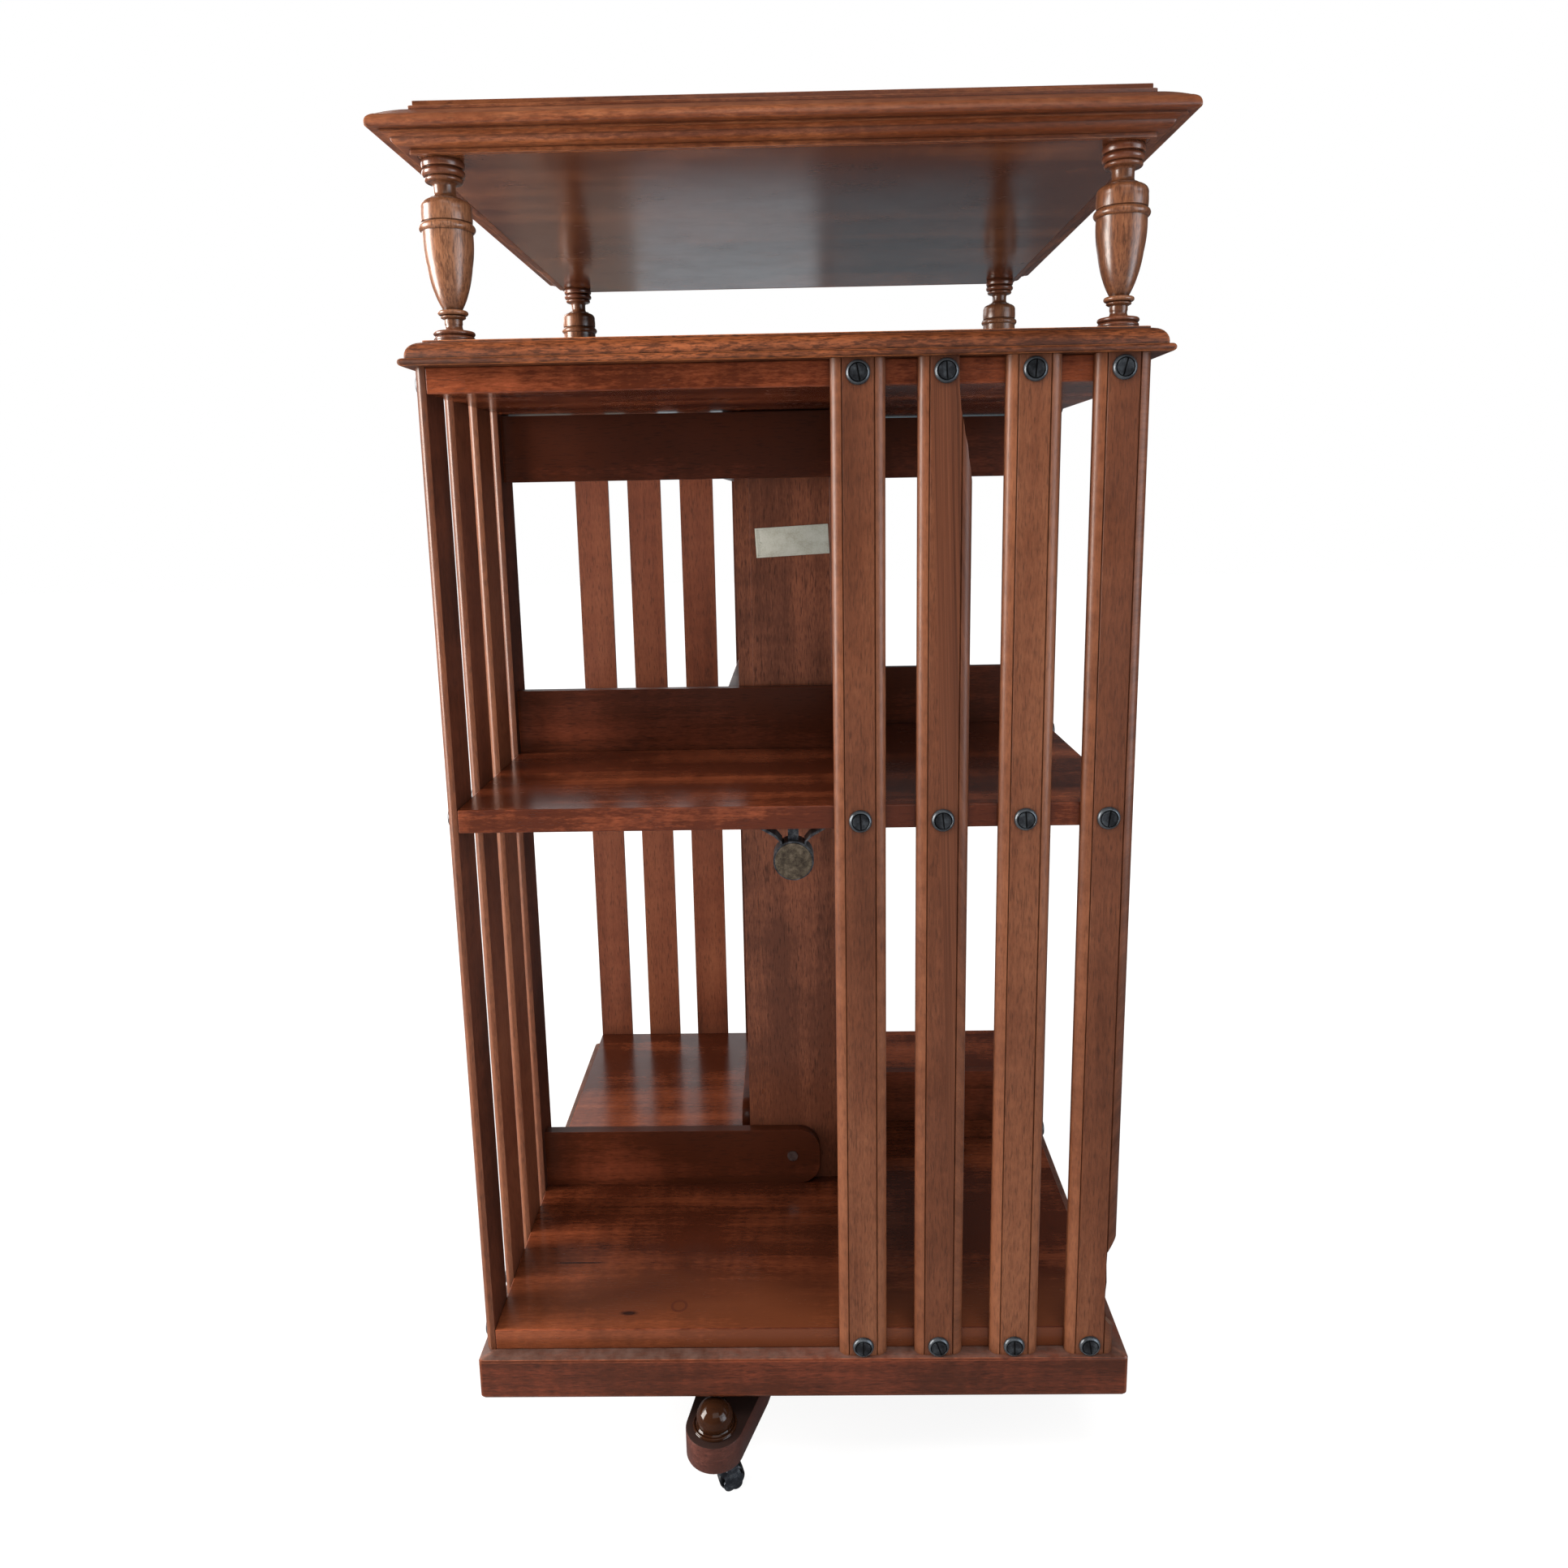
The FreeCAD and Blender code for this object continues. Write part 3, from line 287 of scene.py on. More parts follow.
def polished(name, grain, tones, seed=0.0, gloss=0.36, pores=0.5, figure=1.0, painted_shade=0.55, board_tone=0.5,
             coat=0.15, dust=0.0, flecks=0.0, rubbed=1.0, reflect=0.2, relief=0.25, marks=None):
    """French-polished mahogany: ribbon figure, streaks, dark pores, pale arrises, painted shade in corners
    and creases.
    """
    material, tree = new_material(name)
    fibres, spot, board = grain_coordinates(tree, grain, seed)
    broad = stretched_noise(tree, fibres, (2.2, 26, 26), 2.0)
    streak = stretched_noise(tree, fibres, (9, 240, 240), 4.0, 0.6)
    patch = stretched_noise(tree, spot, (6, 6, 6))
    ribbon = stretched_noise(tree, fibres, (75, 16, 16), 2.0)
    hair = stretched_noise(tree, fibres, (150, 650, 650), 3.0, 0.7)
    dash = stretched_noise(tree, fibres, (110, 1100, 1100), 1.0)
    tone = sum_of(tree, 0.5, (broad, 0.75 * figure), (streak, 0.3 * figure), (patch, 0.75 * figure),
                  (ribbon, 0.2 * figure), (hair, 0.4 * figure), (board, board_tone))
    deep, mid, pale = tones
    colour = ramp(tree, tone, [(0.2, deep), (0.5, mid), (0.82, pale)])
    pore = ramp(tree, dash, [(0.58, (0, 0, 0)), (0.68, (pores, pores, pores))])
    colour = mix(tree, pore, colour, shade(deep, 0.3))
    if flecks:
        fleck = stretched_noise(tree, fibres, (130, 620, 620), 3.0, 0.7)
        dark_fleck = ramp(tree, fleck, [(0.48, (0, 0, 0)), (0.60, (flecks, flecks, flecks))])
        colour = mix(tree, dark_fleck, colour, shade(deep, 0.6))
    if marks is not None:
        colour = marks(tree, colour)
    edge = attribute(tree, "rub")
    bruise = stretched_noise(tree, spot, (90, 90, 90), 3.0, 0.7)
    bruised = sum_of(tree, 0.75 * rubbed, (bruise, 3.0 * rubbed))
    colour = mix(tree, calculate(tree, "MULTIPLY", edge, bruised, clamp=True), colour, shade(pale, 1.35))
    # Below 0 the rub value paints shade into creases and corners.
    colour = mix(tree, calculate(tree, "MULTIPLY", edge, -0.9, clamp=True), colour, shade(deep, 0.25))
    # Ambient occlusion paints shade into corners and recesses.
    open_air = put(tree, "ShaderNodeAmbientOcclusion", {"Distance": 14 * mm}, samples=4).outputs["AO"]
    corner_shade = calculate(tree, "MULTIPLY", calculate(tree, "SUBTRACT", 1.0, open_air), painted_shade, clamp=True)
    colour = mix(tree, corner_shade, colour, shade(deep, 0.2))
    smear = stretched_noise(tree, spot, (22, 22, 22))
    shine = sum_of(tree, gloss, (smear, 0.22), (pore, 0.1))
    if dust:
        uneven = sum_of(tree, 0.6, (bruise, 1.6))
        cover = calculate(tree, "MULTIPLY", lying(tree, 0.85, 0.98, dust), uneven, clamp=True)
        colour = mix(tree, cover, colour, (0.19, 0.135, 0.115))
        shine = calculate(tree, "MULTIPLY_ADD", cover, 0.4, shine)
    height = sum_of(tree, 0.0, (streak, 0.4), (pore, -0.5))
    bump = put(tree, "ShaderNodeBump",
               {"Strength": relief, "Distance": 0.25 * mm, "Height": height}).outputs[0]
    surfaced(tree, {"Base Color": colour, "Roughness": shine, "Normal": bump, "Coat Weight": coat,
                    "Coat Roughness": 0.16, "Specular IOR Level": reflect})
    return material


def arc_between(start, end, rise, steps):
    """Points of the arc from start to end, end left out. It rises to the right of the way there."""
    (x0, y0), (x1, y1) = start, end
    chord = math.hypot(x1 - x0, y1 - y0)
    radius = (chord * chord / 4 + rise * rise) / (2 * rise)
    half = 2 * math.atan2(2 * rise, chord)
    along, aside = ((x1 - x0) / chord, (y1 - y0) / chord), ((y1 - y0) / chord, -(x1 - x0) / chord)
    points = []
    for step in range(steps):
        angle = half * (2 * step / steps - 1)
        far, out = chord / 2 + radius * math.sin(angle), radius * math.cos(angle) - radius + rise
        points.append((x0 + along[0] * far + aside[0] * out, y0 + along[1] * far + aside[1] * out))
    return points


def drawn(points, closed=True, steps=8):
    """An outline whose points may carry a third value: the rise of the arc to the next point."""
    line = []
    for index, point in enumerate(points):
        following = points[(index + 1) % len(points)]
        bowed = len(point) > 2 and (closed or index < len(points) - 1)
        line += arc_between(point[:2], following[:2], point[2], steps) if bowed else [tuple(point[:2])]
    return line


def wear_and_crease_shade(line, closed=True, near=0.55):
    """Gives a drawn line's points a third value: above 0 on an arris for wear, below 0 in a corner for
    painted shade.
    """
    marked, count = [], len(line)
    for index, point in enumerate(line):
        ends = not closed and index in (0, count - 1)
        before, after = Vector(line[index - 1]), Vector(line[(index + 1) % count])
        here = Vector(point)
        turn = 0 if ends else -(here - before).angle_signed(after - here, 0)
        value = max(-1.0, min(1.0, turn)) if abs(turn) > math.radians(20) else 0
        if value and (here - before).length > 2.4 * near:
            marked.append((*(here + (before - here).normalized() * near), 0))
        marked.append((*here, value))
        if value and (after - here).length > 2.4 * near:
            marked.append((*(here + (after - here).normalized() * near), 0))
    return marked


def prism(mesh, outline, low, high, place=Matrix.Identity(4)):
    """A closed solid over an anticlockwise outline, between two heights."""
    rings = [[mesh.verts.new(place @ Vector((x, y, z))) for x, y in outline] for z in (low, high)]
    mesh.faces.new(list(reversed(rings[0])))
    mesh.faces.new(rings[1])
    for index in range(len(outline)):
        after = (index + 1) % len(outline)
        mesh.faces.new([rings[0][index], rings[0][after], rings[1][after], rings[1][index]])


def about(axis, degrees):
    """A turn about an axis."""
    return Matrix.Rotation(math.radians(degrees), 4, axis)


def soften(mesh, width, worn_finish=1):
    """Rounds the sharp arrises and gives them the worn finish, which is the second unless told."""
    mesh.normal_update()
    sharp = math.radians(35)
    edges = [edge for edge in mesh.edges if edge.is_manifold and edge.calc_face_angle(0) > sharp]
    bmesh.ops.bevel(mesh, geom=edges, offset=width, segments=2, profile=0.5, affect="EDGES",
                    clamp_overlap=True, material=worn_finish)


def in_metres(name, mesh):
    """The plain mesh of a shape drawn in millimetres."""
    data = bpy.data.meshes.new(name)
    bmesh.ops.scale(mesh, vec=(mm, mm, mm), verts=mesh.verts)
    mesh.to_mesh(data)
    mesh.free()
    return data


def finished(name, mesh, materials, body, stands_for=()):
    """Turns a shape in millimetres, or a plain mesh, into a piece of the bookcase that rides on a body."""
    if isinstance(mesh, bmesh.types.BMesh):
        data = in_metres(name, mesh)
    else:
        data = mesh
        data.name = name
    if materials:
        data.materials.clear()
        for material in materials:
            data.materials.append(material)
    for face in data.polygons:
        face.use_smooth = True
    data.set_sharp_from_angle(angle=math.radians(32))
    thing = into_scene(name, data)
    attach(thing, body)
    if stands_for:
        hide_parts(*stands_for)


def blackened_top(tree, colour):
    """Wax and dust that lie nearly black on the top of the bars."""
    return mix(tree, lying(tree, 0.6, 0.95, 0.85), colour, (0.012, 0.008, 0.007))


foot_wood = polished("foot_mahogany", "X", foot_tones, seed=1, gloss=0.5, flecks=0.3, marks=blackened_top)
foot_worn = polished("foot_mahogany_worn", "X", lightened(foot_tones, 1.7), seed=1, gloss=0.5)
arm = drawn([(notch_half, -bar_half), (taper_start, -bar_half), (knob_reach, -end_radius, end_radius - 0.01),
             (knob_reach, end_radius), (taper_start, bar_half), (notch_half, bar_half)], steps=24)
raised = Matrix.Translation((0, 0, foot_base))
for name, turn, low, high in (("foot_bar_lower", 90, 0, bar_thickness / 2 - joint_gap),
                              ("foot_bar_upper", 180, bar_thickness / 2 + joint_gap, bar_thickness)):
    shape = bmesh.new()
    for half_turn in (0, 180):
        prism(shape, arm, 0, bar_thickness, about("Z", foot_turn + turn + half_turn) @ raised)
    prism(shape, rectangle(notch_half, bar_half), low, high, about("Z", foot_turn + turn) @ raised)
    soften(shape, 1.0)
    finished(name, shape, [foot_wood, foot_worn], "stand", [name])

# The knobs: four turned balls on thin collars, one over each castor, pegged into the arms.
# Dark polish with a bright catch of the windows, and two fine rings turned in the collar.
foot_top, knob_radius, ball_height, collar_top = foot_base + bar_thickness, 13.8, 6.6, 3.4
knob_steps = 18
knob_tones = ((0.004, 0.001, 0.001), (0.009, 0.003, 0.002), (0.020, 0.007, 0.003))


def on_lathe(mesh, profile, segments=48, place=Matrix.Identity(4)):
    """Turns a profile of (radius, height) points, given upwards, once round the upright axis.
    A third value of a point is its wear above 0 and its painted shade below 0."""
    rub = mesh.verts.layers.float.get("rub") or mesh.verts.layers.float.new("rub")
    rings = []
    for radius, height, *wear in profile:
        ring = []
        for step in range(segments if radius > 1e-6 else 1):
            angle = 2 * math.pi * step / segments
            spot = Vector((radius * math.cos(angle), radius * math.sin(angle), height))
            ring.append(mesh.verts.new(place @ spot))
            ring[-1][rub] = wear[0] if wear else 0
        rings.append(ring)
    for lower, upper in zip(rings, rings[1:]):
        for step in range(segments):
            after = (step + 1) % segments
            corners = [lower[step % len(lower)], lower[after % len(lower)], upper[after % len(upper)],
                       upper[step % len(upper)]]
            mesh.faces.new(list(dict.fromkeys(corners)))


def plain_mesh(holder):
    """The mesh that an object's modifiers make. The object goes."""
    graph = bpy.context.evaluated_depsgraph_get()
    plain = bpy.data.meshes.new_from_object(holder.evaluated_get(graph), preserve_all_data_layers=True,
                                            depsgraph=graph)
    holder.modifiers.clear()
    bpy.data.objects.remove(holder)
    return plain


def set_out(pattern, points_tree, **inputs):
    """Runs a node tree on a pattern piece and gives the plain mesh that it makes."""
    holder = into_scene(pattern.name, pattern)
    step = holder.modifiers.new("set_out", "NODES")
    step.node_group = points_tree
    for socket in points_tree.interface.items_tree:
        if socket.item_type == "SOCKET" and socket.in_out == "INPUT" and socket.name in inputs:
            step[socket.identifier] = inputs[socket.name]
    return plain_mesh(holder)


def pattern_tree(name, numbers):
    """A new node tree whose modifier takes a pattern mesh, named numbers and a finish."""
    tree = bpy.data.node_groups.new(name, "GeometryNodeTree")
    tree.interface.new_socket("Geometry", in_out="INPUT", socket_type="NodeSocketGeometry")
    for label, value in numbers.items():
        kind = "NodeSocketInt" if isinstance(value, int) else "NodeSocketFloat"
        tree.interface.new_socket(label, in_out="INPUT", socket_type=kind).default_value = value
    tree.interface.new_socket("Finish", in_out="INPUT", socket_type="NodeSocketMaterial")
    tree.interface.new_socket("Geometry", in_out="OUTPUT", socket_type="NodeSocketGeometry")
    return tree, put(tree, "NodeGroupInput").outputs


def copies_at(tree, pattern, count, place, turn, tip=0.0):
    """Copies of a pattern at their places, swung and turned about the upright axis."""
    line = put(tree, "GeometryNodeMeshLine", {"Count": count, "Offset": (0, 0, 0)})
    swung = put(tree, "ShaderNodeVectorRotate", {"Vector": place, "Angle": turn}, rotation_type="Z_AXIS")
    points = put(tree, "GeometryNodeSetPosition", {0: line.outputs[0], "Position": swung.outputs[0]})
    sockets = {"Points": points.outputs[0], "Instance": pattern, "Rotation": vector_of(tree, tip, 0.0, turn)}
    return put(tree, "GeometryNodeInstanceOnPoints", sockets).outputs[0]


def realized(tree, instances, given):
    """Gives every copy its own board number, makes the copies real and sets their finish."""
    number = put(tree, "FunctionNodeRandomValue", {"Seed": given["Seed"]}, data_type="FLOAT").outputs[1]
    marked = put(tree, "GeometryNodeStoreNamedAttribute",
                 {"Geometry": instances, "Name": "board", "Value": number}, domain="INSTANCE")
    real = put(tree, "GeometryNodeRealizeInstances", {0: marked.outputs[0]})
    coated = put(tree, "GeometryNodeSetMaterial", {0: real.outputs[0], "Material": given["Finish"]})
    put(tree, "NodeGroupOutput", {0: coated.outputs[0]})


round_tree, given = pattern_tree("set_out_on_four_arms", {"Reach": knob_reach * mm, "Turn": 0.0, "Seed": 3})
arm_number = put(round_tree, "GeometryNodeInputIndex").outputs[0]
quarter = calculate(round_tree, "MULTIPLY_ADD", arm_number, math.pi / 2, given["Turn"])
outreach = vector_of(round_tree, given["Reach"])
realized(round_tree, copies_at(round_tree, given["Geometry"], 4, outreach, quarter), given)

knob_wood = polished("knob_mahogany", "X", knob_tones, seed=4, gloss=0.12, coat=0.0, pores=0.2, rubbed=0.1)
sunk = -math.asin((ball_height - collar_top) / knob_radius)
knob = drawn([(0, 0), (15.9, 0, 0.5), (16.4, 1.2, 0.4), (15.4, 2.4), (14.9, 2.0), (14.5, 2.2), (13.9, 2.8),
              (knob_radius * math.cos(sunk), collar_top)], closed=False, steps=4)
for step in range(1, knob_steps):
    angle = sunk + (math.pi / 2 - sunk) * step / knob_steps
    knob.append((knob_radius * math.cos(angle), ball_height + knob_radius * math.sin(angle)))
knob.append((0, ball_height + knob_radius))
shape = bmesh.new()
on_lathe(shape, [(r, z + foot_top, wear) for r, z, wear in wear_and_crease_shade(knob, closed=False)])
knobs = set_out(in_metres("knob_pattern", shape), round_tree, Reach=knob_reach * mm,
                Turn=math.radians(foot_turn), Seed=3, Finish=knob_wood)
finished("foot_knobs_turned", knobs, None, "stand", ["foot_knobs"])

# The castors: small cast-iron forks that swivel under the knobs, each with one narrow iron wheel.
# Blackened iron with a blue cast, rubbed bright where the wheel has run against the fork.
castor_trail, trail_turn, axle_height = 11, 20, 10
crown_base, crown_top, stem_top, crown_back, crown_front = 26.6, 30.6, 34.2, -7, 15
fork_inner, fork_wall = 5, 2
iron_tones = ((0.012, 0.014, 0.018), (0.03, 0.036, 0.045), (0.10, 0.115, 0.13))
rubbed_tones = ((0.10, 0.11, 0.12), (0.22, 0.23, 0.25), (0.4, 0.41, 0.42))
wheel_tones = ((0.01, 0.01, 0.012), (0.03, 0.032, 0.035), (0.16, 0.16, 0.17))


def blackened(name, tones, roughness, metal, seed=0.0, scale=160):
    """Old metal with a blotched dark patina and small pits."""
    material, tree = new_material(name)
    along, *across = board_shift
    shift = vectors(tree, "SCALE", (seed + along, *across), attribute(tree, "board"))
    spot = vectors(tree, "ADD", spot_on(tree), shift)
    cloud = stretched_noise(tree, spot, (scale, scale, scale))
    grit = stretched_noise(tree, spot, (scale * 7, scale * 7, scale * 7), 2.0)
    tone = sum_of(tree, 0.5, (cloud, 1.3), (grit, 0.5))
    deep, mid, pale = tones
    colour = ramp(tree, tone, [(0.25, deep), (0.5, mid), (0.8, pale)])
    edge = attribute(tree, "rub")
    # Above 0 the rub value paints the metal paler, a painted highlight on the washers' rims; below 0 it makes
    # hollows darker.
    colour = mix(tree, calculate(tree, "MULTIPLY", edge, 0.8, clamp=True), colour, shade(pale, 2.2))
    colour = mix(tree, calculate(tree, "MULTIPLY", edge, -0.8, clamp=True), colour, shade(deep, 0.5))
    shine = sum_of(tree, roughness, (cloud, 0.3), (grit, 0.15))
    bump = put(tree, "ShaderNodeBump",
               {"Strength": 0.3, "Distance": 0.15 * mm, "Height": grit}).outputs[0]
    surfaced(tree, {"Base Color": colour, "Roughness": shine, "Metallic": metal, "Normal": bump})
    return material


iron = blackened("blackened_iron", iron_tones, 0.42, 0.75)
iron_worn = blackened("rubbed_iron", rubbed_tones, 0.32, 0.9)
wheel_iron = blackened("wheel_iron", wheel_tones, 0.38, 0.8)
crown = [(crown_back, crown_base), (crown_front, crown_base), (crown_front, crown_top),
         (crown_back, crown_top)]
cheek = drawn([(crown_back, crown_base + 0.5), (4.5, 13.2, -0.9), (3.6, 9.0), (3.9, 7.4, 3.0), (11, 2.5, 3.0),
               (18.2, 7.9, 1.6), (17.4, 14.4, -0.7), *crown[1:]])
stem = [(0, crown_top - 0.2), (4, crown_top - 0.2), (4, stem_top - 0.5), (3.5, stem_top), (0, stem_top)]
pin = drawn([(0, -6.9), (2.2, -6.9, 0.3), (2.0, -6.2), (2.0, 6.2, 0.3), (2.2, 6.9), (0, 6.9)], False, 4)
rim = drawn([(2.1, -4.4), (3.8, -4.4), (4.3, -3.4), (7.6, -3.2), (8.3, -4.4, 0.1), (9.2, -4.4, 0.3),
             (9.85, -3.4, 0.1), (9.85, 3.4, 0.3), (9.2, 4.4, 0.1), (8.3, 4.4), (7.6, 3.2), (4.3, 3.4),
             (3.8, 4.4), (2.1, 4.4), (2.1, -4.4)], False, 4)
for number in range(1, 5):
    swing = math.radians(foot_turn + 90 * (number - 1))
    spot = Vector((knob_reach * math.cos(swing), knob_reach * math.sin(swing), 0))
    place = Matrix.Translation(spot) @ about("Z", trail_turn)
    upright = place @ about("X", 90)
    axle = upright @ Matrix.Translation((castor_trail, axle_height, 0))
    fork = bmesh.new()
    for low in (-fork_inner - fork_wall, fork_inner):
        prism(fork, cheek, low, low + fork_wall, upright)
    prism(fork, crown, -fork_inner, fork_inner, upright)
    soften(fork, 0.45)
    on_lathe(fork, stem, 24, place)
    on_lathe(fork, pin, 24, axle)
    finished(f"castor_fork_{number}_cast", fork, [iron, iron_worn], f"castor_{number}",
             [f"castor_fork_{number}"])
    wheel = bmesh.new()
    on_lathe(wheel, rim, 48, axle)
    bmesh.ops.remove_doubles(wheel, verts=wheel.verts, dist=1e-4)
    finished(f"castor_wheel_{number}_cast", wheel, [wheel_iron], f"wheel_{number}",
             [f"castor_wheel_{number}"])

# The post, its flange and the castor plates: a turned steel rod stands in a square cast flange that is
# screwed to the crossing of the bars, and small iron plates under the arms take the castors' stems.
steel = blackened("oiled_steel", ((0.16, 0.16, 0.165), (0.3, 0.3, 0.31), (0.42, 0.42, 0.43)), 0.3, 1.0, 2)
brass = blackened("turned_brass", ((0.3, 0.2, 0.08), (0.5, 0.36, 0.15), (0.62, 0.47, 0.22)), 0.28, 1.0, 3)


def dressed(node, materials, rounding=0.0):
    """Gives a solid of the frame its finish, with its arrises rounded and worn if a rounding is given."""
    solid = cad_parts[node]
    solid.data.materials.clear()
    for material in materials:
        solid.data.materials.append(material)
    for face in solid.data.polygons:
        face.material_index = 0
    if rounding:
        weld = solid.modifiers.new("merge", "WELD")
        weld.merge_threshold = 0.005 * mm
        edge = solid.modifiers.new("arris", "BEVEL")
        edge.width, edge.segments = rounding * mm, 2
        edge.limit_method, edge.angle_limit = "ANGLE", math.radians(40)
        edge.material = len(materials) - 1


dressed("post_flange", [iron, iron_worn], 0.8)
dressed("castor_plates", [iron, iron_worn], 0.4)
dressed("flange_screws", [steel])
dressed("pivot_cup", [brass])
dressed("guide_bush", [brass])
post_low, post_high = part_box("post")
low, high = post_low.z / mm, post_high.z / mm
rod = drawn([(0, low), (9.4, low), (10, low + 0.6), (10, high - 1.2, 0.3), (8.8, high), (0, high)], False, 4)
shape = bmesh.new()
on_lathe(shape, rod, 40)
finished("post_turned", shape, [steel], "stand", ["post"])

# The plinth: four mahogany boards mitred at the corners, rounded along the outer edges by knocks and
# polish. It carries the bottom shelf and the feet of the slats.
plinth_half, plinth_base, plinth_height = 241, 80, 32.5
sides = ("front", "left", "back", "right")


def round_the_square(profile, half, base, near):
    """Runs a profile of (out from the outer face, height, wear above 0 and painted shade below 0) round a
    square, mitred at the corners.
    The corners are rounded from near them. The front and back get the first finish, the sides the second."""
    mesh = bmesh.new()
    rub = mesh.verts.layers.float.new("rub")
    rings, waist = [], 0.29 * near
    for corner, (cx, cy) in enumerate(rectangle(1, 1)):
        beside = [(0, near), (waist, waist), (near, 0)]
        for short_x, short_y in beside if corner % 2 == 0 else beside[::-1]:
            ring = []
            for out, height, wear in profile:
                reach = half + out
                spot = (cx * (reach - short_x), cy * (reach - short_y), base + height)
                knocked = short_x == short_y and out > -6 and wear >= 0
                ring.append(mesh.verts.new(spot))
                ring[-1][rub] = max(wear, 0.25) if knocked else wear
            rings.append(ring)
    for strip, here in enumerate(rings):
        there = rings[(strip + 1) % len(rings)]
        for index in range(len(profile)):
            after = (index + 1) % len(profile)
            face = mesh.faces.new([here[index], there[index], there[after], here[after]])
            face.material_index = (strip - 1) // 3 % 2
    bmesh.ops.recalc_face_normals(mesh, faces=mesh.faces)
    return mesh


def both_ways(name, tones, seed, **finish):
    """A wood for the boards that run left to right, and one for those that run front to back."""
    return [polished(f"{name}_front", "X", tones, seed=seed, **finish),
            polished(f"{name}_side", "Y", tones, seed=seed + 1, **finish)]


plinth_tones = ((0.040, 0.009, 0.003), (0.126, 0.025, 0.009), (0.21, 0.056, 0.020))
plinth_woods = both_ways("plinth_mahogany", plinth_tones, 5, gloss=0.46, dust=0.3, flecks=0.3, figure=0.8)
profile = [(-22, 0), (-2.4, 0), (-0.7, 0.6), (0, 2.2), (0, plinth_height - 2.2), (-0.7, plinth_height - 0.6),
           (-2.4, plinth_height), (-22, plinth_height)]
half_wear_and_shade = [(out, up, 0.5 * wear) for out, up, wear in wear_and_crease_shade(profile)]
shape = round_the_square(half_wear_and_shade, plinth_half, plinth_base, 3.2)
finished("plinth", shape, plinth_woods, "case", [f"plinth_{side}" for side in sides])

# The shelves: three solid mahogany boards, grain running left to right, polished on every face.
# The bottom one shows a knot, a plugged screw hole and a short dark crack near the front.
shelf_tones = ((0.038, 0.008, 0.003), (0.132, 0.032, 0.012), (0.29, 0.092, 0.036))
lit_front_from, lit_front_to = -150, -205
knot_place, plug_place, plug_radius = (-131.6, -213.6), (-93.9, -206.3), 5.5
crack_place, crack_half = (-180.3, -157.4), 24
shade_places = (((12, -182), (0.7, 1.1)), ((-222, -150), (0.8, 1.2)), ((-226, -196), (1.0, 1.5)),
                ((60, -120), (0.3, 1.0)))


def far_from(tree, place, squash=(1, 1)):
    """How far a point of the board lies from a place on it, in millimetres."""
    moved = vectors(tree, "ADD", spot_on(tree), (-place[0] * mm, -place[1] * mm, 0))
    return length_of(tree, vectors(tree, "MULTIPLY", moved, (squash[0] / mm, squash[1] / mm, 0)))


def bottom_marks(tree, colour):
    """A painted pool of light along the front, soft dark patches, then the knot with its swirl, the round
    plug and the short dark crack.
    """
    spot = spot_on(tree)
    cloud = stretched_noise(tree, spot, (7, 22, 5))
    uneven = sum_of(tree, part_of(tree, spot, "Y"), (cloud, 0.09))
    # Painted light: the front part of the shelf is made paler.
    lit_front = rising(tree, uneven, lit_front_from * mm, lit_front_to * mm, 0.3)
    colour = mix(tree, lit_front, colour, (0.18, 0.054, 0.021))
    for place, squash in shade_places:
        distance = far_from(tree, place, squash)
        colour = mix(tree, rising(tree, distance, 42, 8, 0.6), colour, (0.035, 0.009, 0.004))
    swirl = far_from(tree, knot_place, (0.45, 1.3))
    colour = mix(tree, rising(tree, swirl, 16, 3, 0.35), colour, (0.09, 0.022, 0.009))
    colour = mix(tree, rising(tree, swirl, 3.8, 1.6, 0.95), colour, (0.012, 0.004, 0.003))
    ring = calculate(tree, "COMPARE", far_from(tree, plug_place), plug_radius, 1.0)
    colour = mix(tree, calculate(tree, "MULTIPLY", ring, 0.75), colour, (0.05, 0.013, 0.007))
    crack = far_from(tree, crack_place, (1 / crack_half, 0.9))
    return mix(tree, rising(tree, crack, 1.05, 0.75, 0.85), colour, (0.015, 0.005, 0.003))


for name, seed, lighter, marks in (("bottom_shelf", 11, 1.0, bottom_marks), ("middle_shelf", 12, 1.3, None),
                                   ("top_shelf", 13, 1.5, None)):
    board = polished(name + "_mahogany", "X", lightened(shelf_tones, lighter), seed=seed, gloss=0.28,
                     figure=1.2, coat=0.25, pores=0.35, relief=0.1, marks=marks)
    arris = polished(name + "_worn", "X", lightened(shelf_tones, 1.4), seed=seed, gloss=0.4)
    dressed(name, [board, arris], 0.8)

# The column: four boards that make a square tube round the post, grain upright, the side boards
# lapping the front and back ones.
column_tones = ((0.09, 0.027, 0.013), (0.21, 0.066, 0.031), (0.30, 0.106, 0.053))
column_arris_tones = ((0.09, 0.028, 0.015), (0.24, 0.08, 0.042), (0.36, 0.13, 0.07))
bare_tones = ((0.16, 0.09, 0.05), (0.25, 0.15, 0.085), (0.33, 0.21, 0.12))
column_wood = polished("column_mahogany", "Z", column_tones, seed=21, gloss=0.42, pores=0.7, flecks=0.25)
column_worn = polished("column_worn", "Z", column_arris_tones, seed=21)
for side in sides:
    dressed(f"column_{side}", [column_wood, column_worn], 0.5)
hidden_wood = polished("bare_block", "X", bare_tones, seed=23, gloss=0.6)
dressed("pivot_block", [hidden_wood])
dressed("guide_block", [hidden_wood])

# The rails: thin boards across each compartment's back that keep books off the column, screwed to it.
# The low ones end in a quarter round past the column.
rail_tones = ((0.042, 0.009, 0.003), (0.115, 0.026, 0.011), (0.19, 0.052, 0.023))
rail_wood = polished("rail_mahogany", "X", rail_tones, seed=31, gloss=0.38)
rail_worn = polished("rail_worn", "X", lightened(rail_tones, 1.8), seed=31)
dressed("long_rails", [rail_wood, rail_worn], 0.6)
dressed("short_rails", [rail_wood, rail_worn], 0.6)
dressed("rail_screws", [steel])

